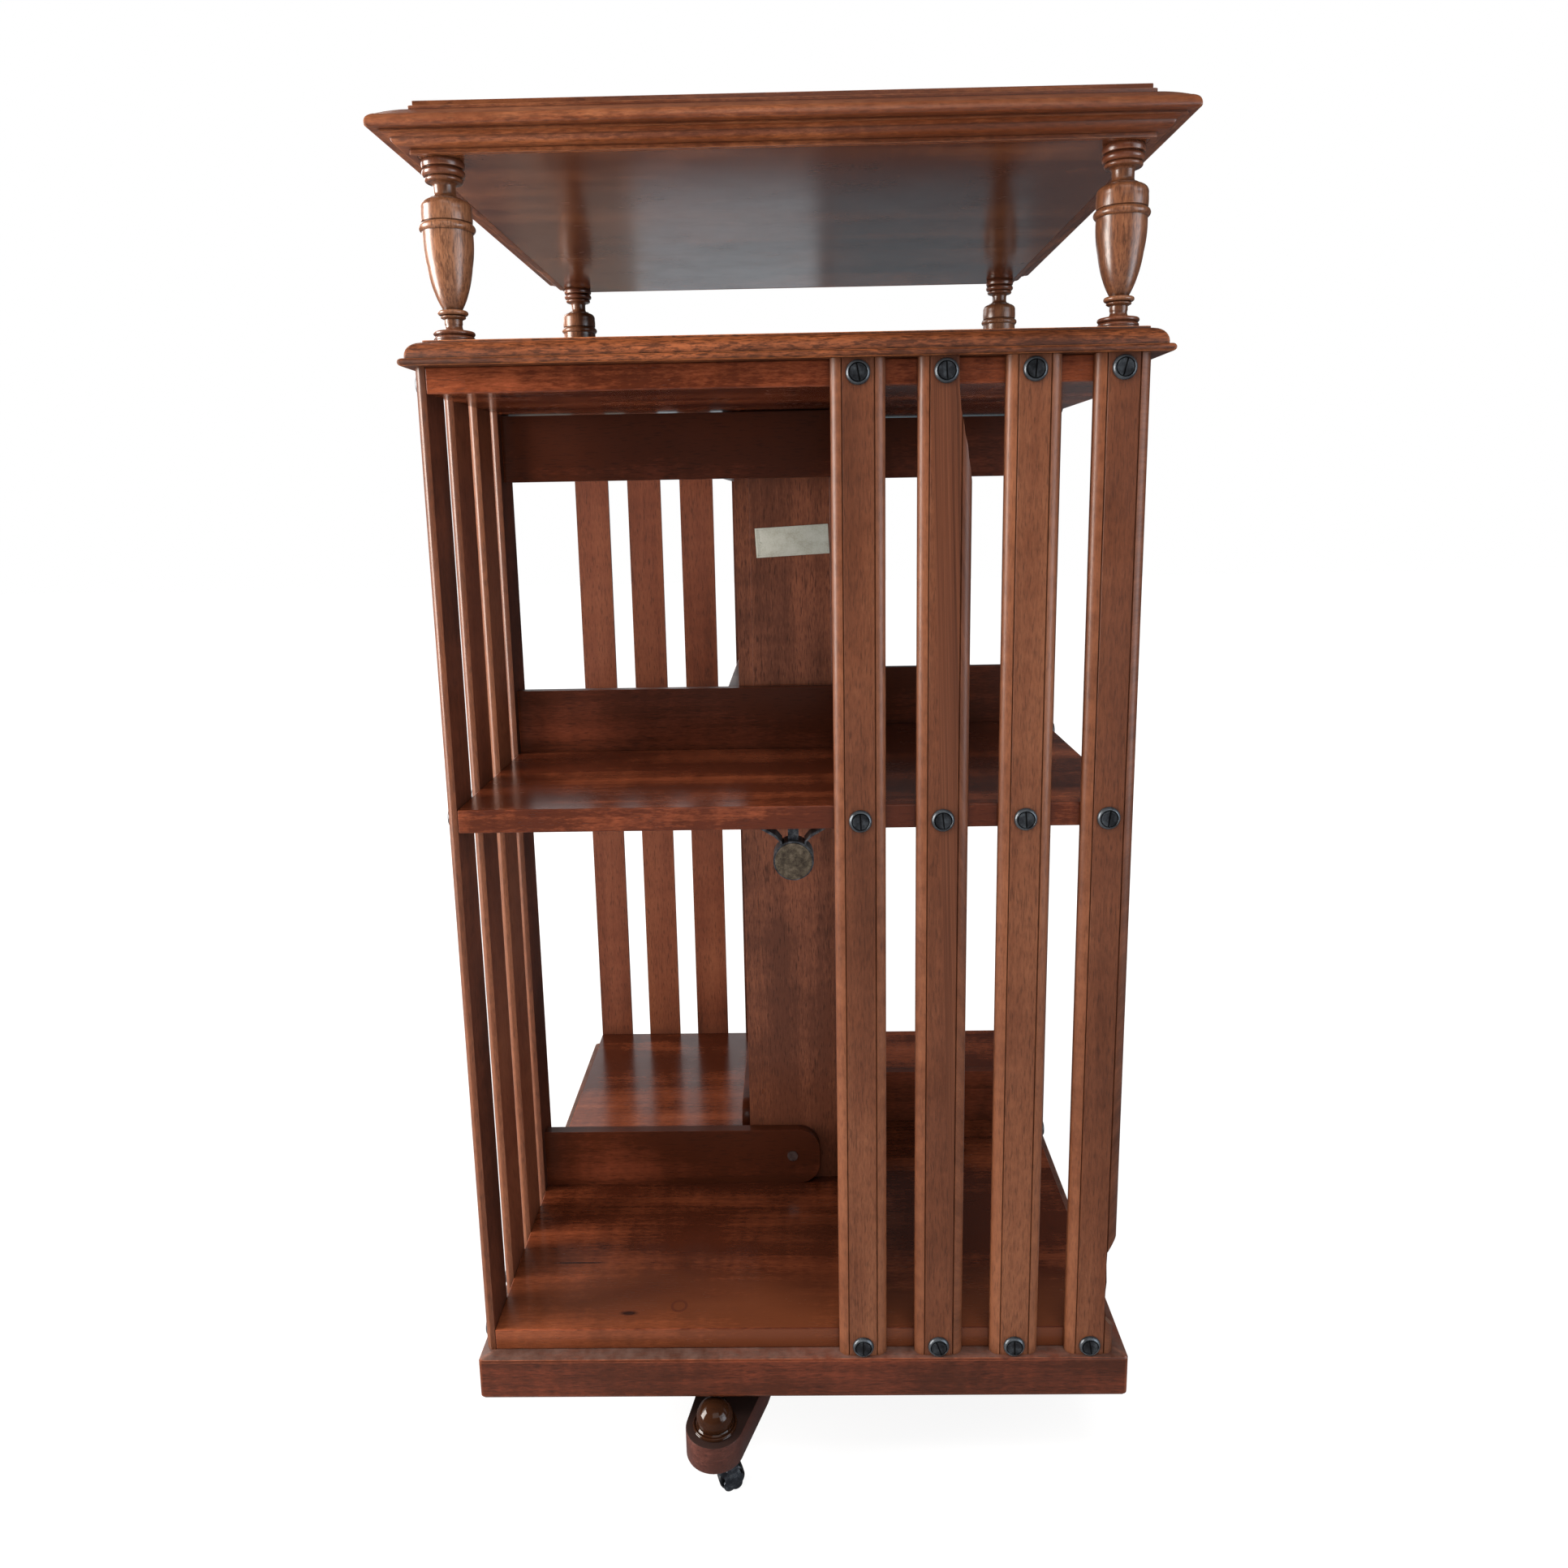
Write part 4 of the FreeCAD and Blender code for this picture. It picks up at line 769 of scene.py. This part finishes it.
# The slats: sixteen upright laths with a flat face between two fine quirks and rounded edges, four on
# one half of each side, screwed to the edges of the shelves from outside. Two are broken.
slat_half, slat_face_half, slat_edge, slat_thickness = 17.5, 10, 4.0, 8
slat_base, slat_length, slat_first, slat_pitch, slat_back = 112.5, 712.5, 45.7, 55.6, -230
slats_in_row, slats_in_all = 4, 16
slat_tones = ((0.036, 0.010, 0.004), (0.084, 0.026, 0.011), (0.145, 0.053, 0.024))
inner_tones = ((0.040, 0.010, 0.004), (0.094, 0.024, 0.010), (0.14, 0.042, 0.018))
torn_tones = ((0.07, 0.03, 0.017), (0.15, 0.07, 0.04), (0.22, 0.11, 0.065))


def split_count(tree, number, size):
    """Which place in its row a number has, and which row that is."""
    rows = calculate(tree, "DIVIDE", number, size)
    return calculate(tree, "MODULO", number, size), calculate(tree, "FLOOR", rows)


def along_side(tree, given, in_row, side, depth, height):
    """A place in a row along the right half of a side, before it is swung there, and the side's turn."""
    across = calculate(tree, "MULTIPLY_ADD", in_row, given["Pitch"], given["First"])
    return vector_of(tree, across, depth, height), calculate(tree, "MULTIPLY", side, -math.pi / 2)


slat_numbers = {"First": slat_first * mm, "Pitch": slat_pitch * mm, "Back": slat_back * mm,
                "Base": slat_base * mm, "Length": slat_length * mm, "Seed": 60}
slat_tree, given = pattern_tree("set_out_slats", slat_numbers)
lath_number = put(slat_tree, "GeometryNodeInputIndex").outputs[0]
in_row, side = split_count(slat_tree, lath_number, float(slats_in_row))
place, turn = along_side(slat_tree, given, in_row, side, given["Back"], given["Base"])
rise = vector_of(slat_tree, z=given["Length"])
lath = put(slat_tree, "GeometryNodeExtrudeMesh",
           {"Mesh": given["Geometry"], "Offset": rise, "Individual": False}, mode="FACES")
foot_end = put(slat_tree, "GeometryNodeFlipFaces", {0: given["Geometry"]})
closed_lath = put(slat_tree, "GeometryNodeJoinGeometry")
for end in (foot_end, lath):
    slat_tree.links.new(end.outputs[0], closed_lath.inputs[0])
welded = put(slat_tree, "GeometryNodeMergeByDistance", {0: closed_lath.outputs[0], "Distance": 0.01 * mm})
realized(slat_tree, copies_at(slat_tree, welded.outputs[0], slats_in_all, place, turn), given)

slat_wood = polished("slat_mahogany", "Z", slat_tones, seed=41, gloss=0.44, board_tone=0.3, pores=0.4,
                     flecks=0.25, coat=0.05, figure=0.7)
torn_wood = polished("torn_mahogany", "Z", torn_tones, seed=42, gloss=0.75, coat=0.0)
inner_wood = polished("slat_mahogany_inner", "Z", inner_tones, seed=43, gloss=0.6, coat=0.0)
quirk, front = slat_face_half + 0.4, -slat_thickness
section = []
for x, y in drawn([(-slat_half, 0), (-slat_half, 0.6 - slat_edge), (0.3 - slat_half, -slat_edge, 0.9),
                   (-quirk - 0.5, front + 0.2), (-quirk, front + 0.9), (0.6 - quirk, front),
                   (quirk - 0.6, front), (quirk, front + 0.9), (quirk + 0.5, front + 0.2, 0.9),
                   (slat_half - 0.3, -slat_edge), (slat_half, 0.6 - slat_edge), (slat_half, 0)], steps=6):
    # The quirks get a dark value, painted shade in the grooves, and the rounds a pale one, partly wear and
    # partly a painted highlight.
    in_quirk, on_round = abs(abs(x) - quirk) < 0.1, abs(x) > quirk + 0.4 and y < 0.4 - slat_edge
    section.append((x, y, -0.35 if in_quirk else 0.26 if on_round else 0))
section_mesh = bpy.data.meshes.new("slat_section")
section_mesh.from_pydata([(x * mm, y * mm, 0) for x, y, wear in section], [], [tuple(range(len(section)))])
section_wear_and_shade = section_mesh.attributes.new("rub", "FLOAT", "POINT")
section_wear_and_shade.data.foreach_set("value", [wear for x, y, wear in section])
laths = set_out(section_mesh, slat_tree, Finish=slat_wood, **slat_numbers)
laths.materials.clear()
for material in (slat_wood, torn_wood, inner_wood):
    laths.materials.append(material)
for face in laths.polygons:
    inward = face.normal.dot(face.center) < (slat_back + 2) * mm
    face.material_index = 2 if inward else 0

split = [(108.9, 838), (109.6, 806), (110.8, 792), (112.6, 784), (113.4, 778), (115.3, 770), (116.2, 762),
         (117.7, 755), (118.9, 747), (126, 747), (126, 838)]
chip = [(231, 207), (230.1, 207), (227.4, 203.5), (224.6, 199), (223.1, 196), (222.9, 186), (223.3, 172),
        (222.7, 160), (223.0, 148), (223.4, 141), (225.8, 137.5), (230.1, 133), (238, 133), (238, 207)]
before_slats, through_slats = -244, 22
cutter = bmesh.new()
flat_out = Matrix.Translation((0, before_slats, 0)) @ about("X", 90)
for outline in (split, chip):
    area = sum(a[0] * b[1] - b[0] * a[1] for a, b in zip(outline, outline[1:] + outline[:1]))
    prism(cutter, outline if area > 0 else outline[::-1], -through_slats, 0, flat_out)
for face in cutter.faces:
    face.material_index = 1
cutter_mesh = in_metres("breaks", cutter)
for material in laths.materials:
    cutter_mesh.materials.append(material)
breaks, whole_laths = into_scene("breaks", cutter_mesh), into_scene("whole_laths", laths)
tear = whole_laths.modifiers.new("tear", "BOOLEAN")
tear.operation, tear.object, tear.solver = "DIFFERENCE", breaks, "EXACT"
torn = plain_mesh(whole_laths)
bpy.data.objects.remove(breaks)
slat_names = [f"slat_{side}_{number}" for side in sides for number in range(1, slats_in_row + 1)]
finished("slats", torn, None, "case", slat_names)

# The screws: slotted round-head screws in cup washers, one through each slat into each shelf.
# Steel with a blue-black patina, the washers' rims painted a little bright as a highlight.
screw_tones = ((0.006, 0.007, 0.008), (0.018, 0.020, 0.024), (0.05, 0.058, 0.066))
screw_bottom, screw_middle, screw_top = 119.925, 523.425, 815.925
screw_rows, most_askew = 3, 0.35
slot_half, slot_floor, head_radius, head_top = 0.55, 1.6, 5.4, 2.5
screw_numbers = {"First": slat_first * mm, "Pitch": slat_pitch * mm,
                 "Face": (slat_back - slat_thickness) * mm, "Bottom": screw_bottom * mm,
                 "Middle": screw_middle * mm, "Top": screw_top * mm, "Seed": 5}
screw_tree, given = pattern_tree("set_out_screws", screw_numbers)
screw_number = put(screw_tree, "GeometryNodeInputIndex").outputs[0]
in_row, row = split_count(screw_tree, screw_number, float(slats_in_row))
storey, side = split_count(screw_tree, row, float(screw_rows))
above = calculate(screw_tree, "GREATER_THAN", storey, 0.5)
highest = calculate(screw_tree, "GREATER_THAN", storey, 1.5)
low_height = put(screw_tree, "ShaderNodeMix", {0: above, 2: given["Bottom"], 3: given["Middle"]},
                 data_type="FLOAT").outputs[0]
height = put(screw_tree, "ShaderNodeMix", {0: highest, 2: low_height, 3: given["Top"]},
             data_type="FLOAT").outputs[0]
place, turn = along_side(screw_tree, given, in_row, side, given["Face"], height)
copies = copies_at(screw_tree, given["Geometry"], slats_in_all * screw_rows, place, turn, math.pi / 2)
askew = put(screw_tree, "FunctionNodeRandomValue", {2: -most_askew, 3: most_askew, "Seed": given["Seed"]},
            data_type="FLOAT").outputs[1]
spun = put(screw_tree, "GeometryNodeRotateInstances",
           {0: copies, "Rotation": vector_of(screw_tree, z=askew), "Local Space": True})
realized(screw_tree, spun.outputs[0], given)

screw_steel = blackened("patinated_steel", screw_tones, 0.36, 0.6)
# The cup's rim gets pale values, a painted highlight, and its hollow under the head a dark one.
cup = [(7.8, 0, 0), (7.8, 0.7, 0.1), (7.4, 1.5, 0.35), (6.7, 2.3, 0.45), (6.2, 2.5, 0.2), (5.8, 2.1, -1.0),
       (5.6, 1.5, -1.0), (0, 1.4, -1.0)]
head_angles = [math.pi * step / 10 for step in range(1, 10)]
head = [(head_radius * math.sin(angle), head_radius * math.cos(angle)) for angle in head_angles]
slot_reach = math.sqrt(head_radius ** 2 - slot_half ** 2)
round_part = [(x, -y) for x, y in head if x > slot_half]
half_head = [(slot_half, -slot_reach), *round_part, (slot_half, slot_reach)]
shape = bmesh.new()
on_lathe(shape, cup, 24)
for sign in (1, -1):
    prism(shape, [(x * sign, y * sign) for x, y in half_head], slot_floor - 0.2, head_top)
screws = set_out(in_metres("screw_pattern", shape), screw_tree, Finish=screw_steel, **screw_numbers)
finished("slat_screws_in_cups", screws, None, "case", ["slat_screws"])

# The deck: a moulded mahogany board on the top shelf, with a thumb moulding over a small bead.
# Sun has bleached its edge to orange and opened the pores.
deck_base, deck_half, deck_thickness, deck_inner = 825, 243.5, 16.5, 140
deck_tones = ((0.050, 0.013, 0.004), (0.20, 0.056, 0.018), (0.38, 0.135, 0.048))
deck_woods = both_ways("deck_mahogany", deck_tones, 51, gloss=0.55, pores=0.6, coat=0.0, flecks=0.8)
profile = drawn([(-deck_inner, 0), (-1.5, 0, 1.5), (-1.5, 4.4), (-3.5, 4.6), (-3.5, 6.4, 2.6), (-12.8, 15.1),
                 (-12.8, deck_thickness), (-deck_inner, deck_thickness)])
shape = round_the_square(wear_and_crease_shade(profile), deck_half, deck_base, 2.4)
inner_reach = deck_half - deck_inner + 1
inner_wall = [face for face in shape.faces
              if max(abs(axis) for corner in face.verts for axis in corner.co[:2]) < inner_reach]
bmesh.ops.delete(shape, geom=inner_wall, context="FACES")
bmesh.ops.holes_fill(shape, edges=[edge for edge in shape.edges if edge.is_boundary], sides=0)
bmesh.ops.recalc_face_normals(shape, faces=shape.faces)
for face in shape.faces:
    if abs(face.normal.z) > 0.99:
        face.material_index = 0
finished("deck_moulded", shape, deck_woods, "case", ["deck"])

# The balusters: four turned mahogany vases with rings, neck and cap, pegged between the deck and the
# raised top. They are the palest wood of the case, with a satin polish.
baluster_offset, deck_top = 214, deck_base + deck_thickness
baluster_tones = ((0.055, 0.018, 0.008), (0.132, 0.051, 0.023), (0.215, 0.096, 0.049))


def red_ends(tree, colour):
    """Darkens the cap, the neck's rings and the foot to a deep red."""
    height = part_of(tree, spot_on(tree), "Z")
    low_end = rising(tree, height, (deck_top + 13) * mm, (deck_top + 5) * mm, 0.65)
    high_end = rising(tree, height, (deck_top + 93) * mm, (deck_top + 103) * mm, 0.7)
    return mix(tree, calculate(tree, "MAXIMUM", low_end, high_end), colour, (0.075, 0.018, 0.008))


baluster_wood = polished("baluster_mahogany", "Z", baluster_tones, seed=61, gloss=0.34, coat=0.2, painted_shade=0.8,
                         board_tone=0.15, figure=1.3, flecks=0.5, rubbed=0.5, reflect=0.3, marks=red_ends)
vase = drawn([(0, 0), (12.4, 0, 0.3), (12.8, 1.6, 0.3), (12.5, 3.6), (11.8, 4.0), (12.4, 4.4, 0.8),
              (12.4, 7.0), (10.4, 7.4, -2.4), (5.7, 12.0), (5.7, 14.4), (7.2, 15.2, 0.5), (7.6, 16.6),
              (7.0, 17.0), (8.6, 17.2, 1.0), (8.6, 20.0), (6.0, 20.6, 0.3), (10.6, 31.0, 0.4),
              (14.1, 46.5, 0.65), (15.8, 66.8), (15.9, 67.4, 1.7), (15.9, 72.4), (15.4, 72.9),
              (15.9, 73.4, 0.2), (15.9, 80.9, 2.1), (10.4, 86.6), (10.4, 87.0, 0.3), (9.6, 88.0, -0.8),
              (6.9, 91.0), (6.9, 94.8, -0.6), (9.4, 97.0), (10.8, 97.2, 0.8), (11.4, 99.8), (10.9, 100.2),
              (12.2, 100.6, 1.2), (12.2, 104.8), (11.7, 105.3), (13.0, 105.8, 0.4), (13.0, 109.9),
              (12.6, 110.5), (0, 110.5)], closed=False, steps=7)
shape = bmesh.new()
on_lathe(shape, [(r, z + deck_top, wear) for r, z, wear in wear_and_crease_shade(vase, closed=False, near=0.3)])
vases = set_out(in_metres("baluster_pattern", shape), round_tree, Reach=baluster_offset * math.sqrt(2) * mm,
                Turn=math.pi / 4, Seed=9, Finish=baluster_wood)
finished("balusters_turned", vases, None, "case", ["balusters"])

# The raised top: a mahogany board framed by a planted moulding, mitred at the corners: steps above, a
# large thumb, a nose, then a fillet and an ogee below. The board's flat underside is polished too.
table_base, table_half = 952, 250
table_tones = ((0.09, 0.024, 0.009), (0.25, 0.084, 0.033), (0.40, 0.17, 0.075))
table_woods = both_ways("table_mahogany", table_tones, 71, gloss=0.4, flecks=0.6, figure=0.9, rubbed=0.6)
table_board = polished("table_board_mahogany", "X", lightened(table_tones, 0.72), seed=73, gloss=0.25,
                       coat=0.35, relief=0.05, figure=0.8, painted_shade=0.0)
profile = drawn([(-23, 0), (-20, 0), (-20, 2.8), (-16.4, 3.0, 1.3), (-11.4, 7.2, -0.6), (-6.2, 9.0),
                 (-6.2, 10.5), (-2, 10.5, 0.7), (0, 12.5, 1.3), (-4.4, 18.6, 0.5), (-20.6, 25.8),
                 (-20.6, 27.9), (-23, 27.9)])
# The upper part of the thumb is painted paler, a painted sheen from above; the other wear values are held
# low.
thumb_sheen_profile = [(out, up, 0.12 if up > 13 and out > -12 else min(wear, 0.35)) for out, up, wear in wear_and_crease_shade(profile)]
shape = round_the_square(thumb_sheen_profile, table_half, table_base, 2.0)
finished("table_moulding_mitred", shape, table_woods, "case", ["table_moulding"])
dressed("table_top", [table_board, table_woods[0]], 0.6)

# The button under the middle shelf: a round dark bronze disc held in a sheet strap whose ends flare
# into two wings under the shelf. What it was for can't be seen.
bronze_tones = ((0.03, 0.023, 0.017), (0.075, 0.058, 0.040), (0.15, 0.12, 0.085))
strap_tones = ((0.02, 0.022, 0.026), (0.06, 0.065, 0.075), (0.16, 0.17, 0.18))
bronze = blackened("aged_bronze", bronze_tones, 0.5, 0.7, 3, 240)
strap_bronze = blackened("strap_bronze", strap_tones, 0.4, 0.8, 4, 240)
dressed("round_button", [bronze, strap_bronze], 0.5)
dressed("button_strap", [strap_bronze])

# The plate on the column: a bare ivory-coloured tablet with a fine double line round it and two tiny
# pins, fixed a little askew.
plate_centre, plate_tilt = (1.5, -45.02, 704.6), -2.8
plate_half, plate_half_height, plate_thickness, pin_reach = 30, 12, 0.7, 26
ivory_tones = ((0.27, 0.265, 0.21), (0.38, 0.385, 0.335), (0.46, 0.465, 0.42))
ivory, tree = new_material("ivory_plate")
stain = stretched_noise(tree, spot_on(tree), (120, 120, 120))
fleck = stretched_noise(tree, spot_on(tree), (900, 900, 900), 2.0)
tone = sum_of(tree, 0.5, (stain, 0.8), (fleck, 0.5))
colour = ramp(tree, tone, list(zip((0.2, 0.5, 0.8), ivory_tones)))
surfaced(tree, {"Base Color": colour, "Roughness": sum_of(tree, 0.4, (stain, 0.2))})
ink = blackened("plate_line", ((0.02, 0.02, 0.02), (0.05, 0.05, 0.05), (0.1, 0.1, 0.1)), 0.6, 0.0, 5, 400)
tilted = Matrix.Translation(plate_centre) @ about("Y", plate_tilt) @ about("X", 90)
shape = bmesh.new()
prism(shape, rectangle(plate_half, plate_half_height), 0, plate_thickness, tilted)
soften(shape, 0.25, worn_finish=0)
bare_faces = set(shape.faces)
for inset, wide in ((1.4, 0.8), (2.9, 0.45)):
    a, b = plate_half - inset, plate_half_height - inset
    for x0, y0, x1, y1 in ((-a, -b, a, -b + wide), (-a, b - wide, a, b), (-a, -b, -a + wide, b),
                           (a - wide, -b, a, b)):
        line = [(x0, y0), (x1, y0), (x1, y1), (x0, y1)]
        prism(shape, line, plate_thickness - 0.05, plate_thickness + 0.03, tilted)
for x in (-pin_reach, pin_reach):
    on_lathe(shape, [(0.9, 0.6), (0.8, 0.95), (0, 1.1)], 12, tilted @ Matrix.Translation((x, 0, 0)))
for face in set(shape.faces) - bare_faces:
    face.material_index = 1
finished("plate_on_column", shape, [ivory, ink], "case")
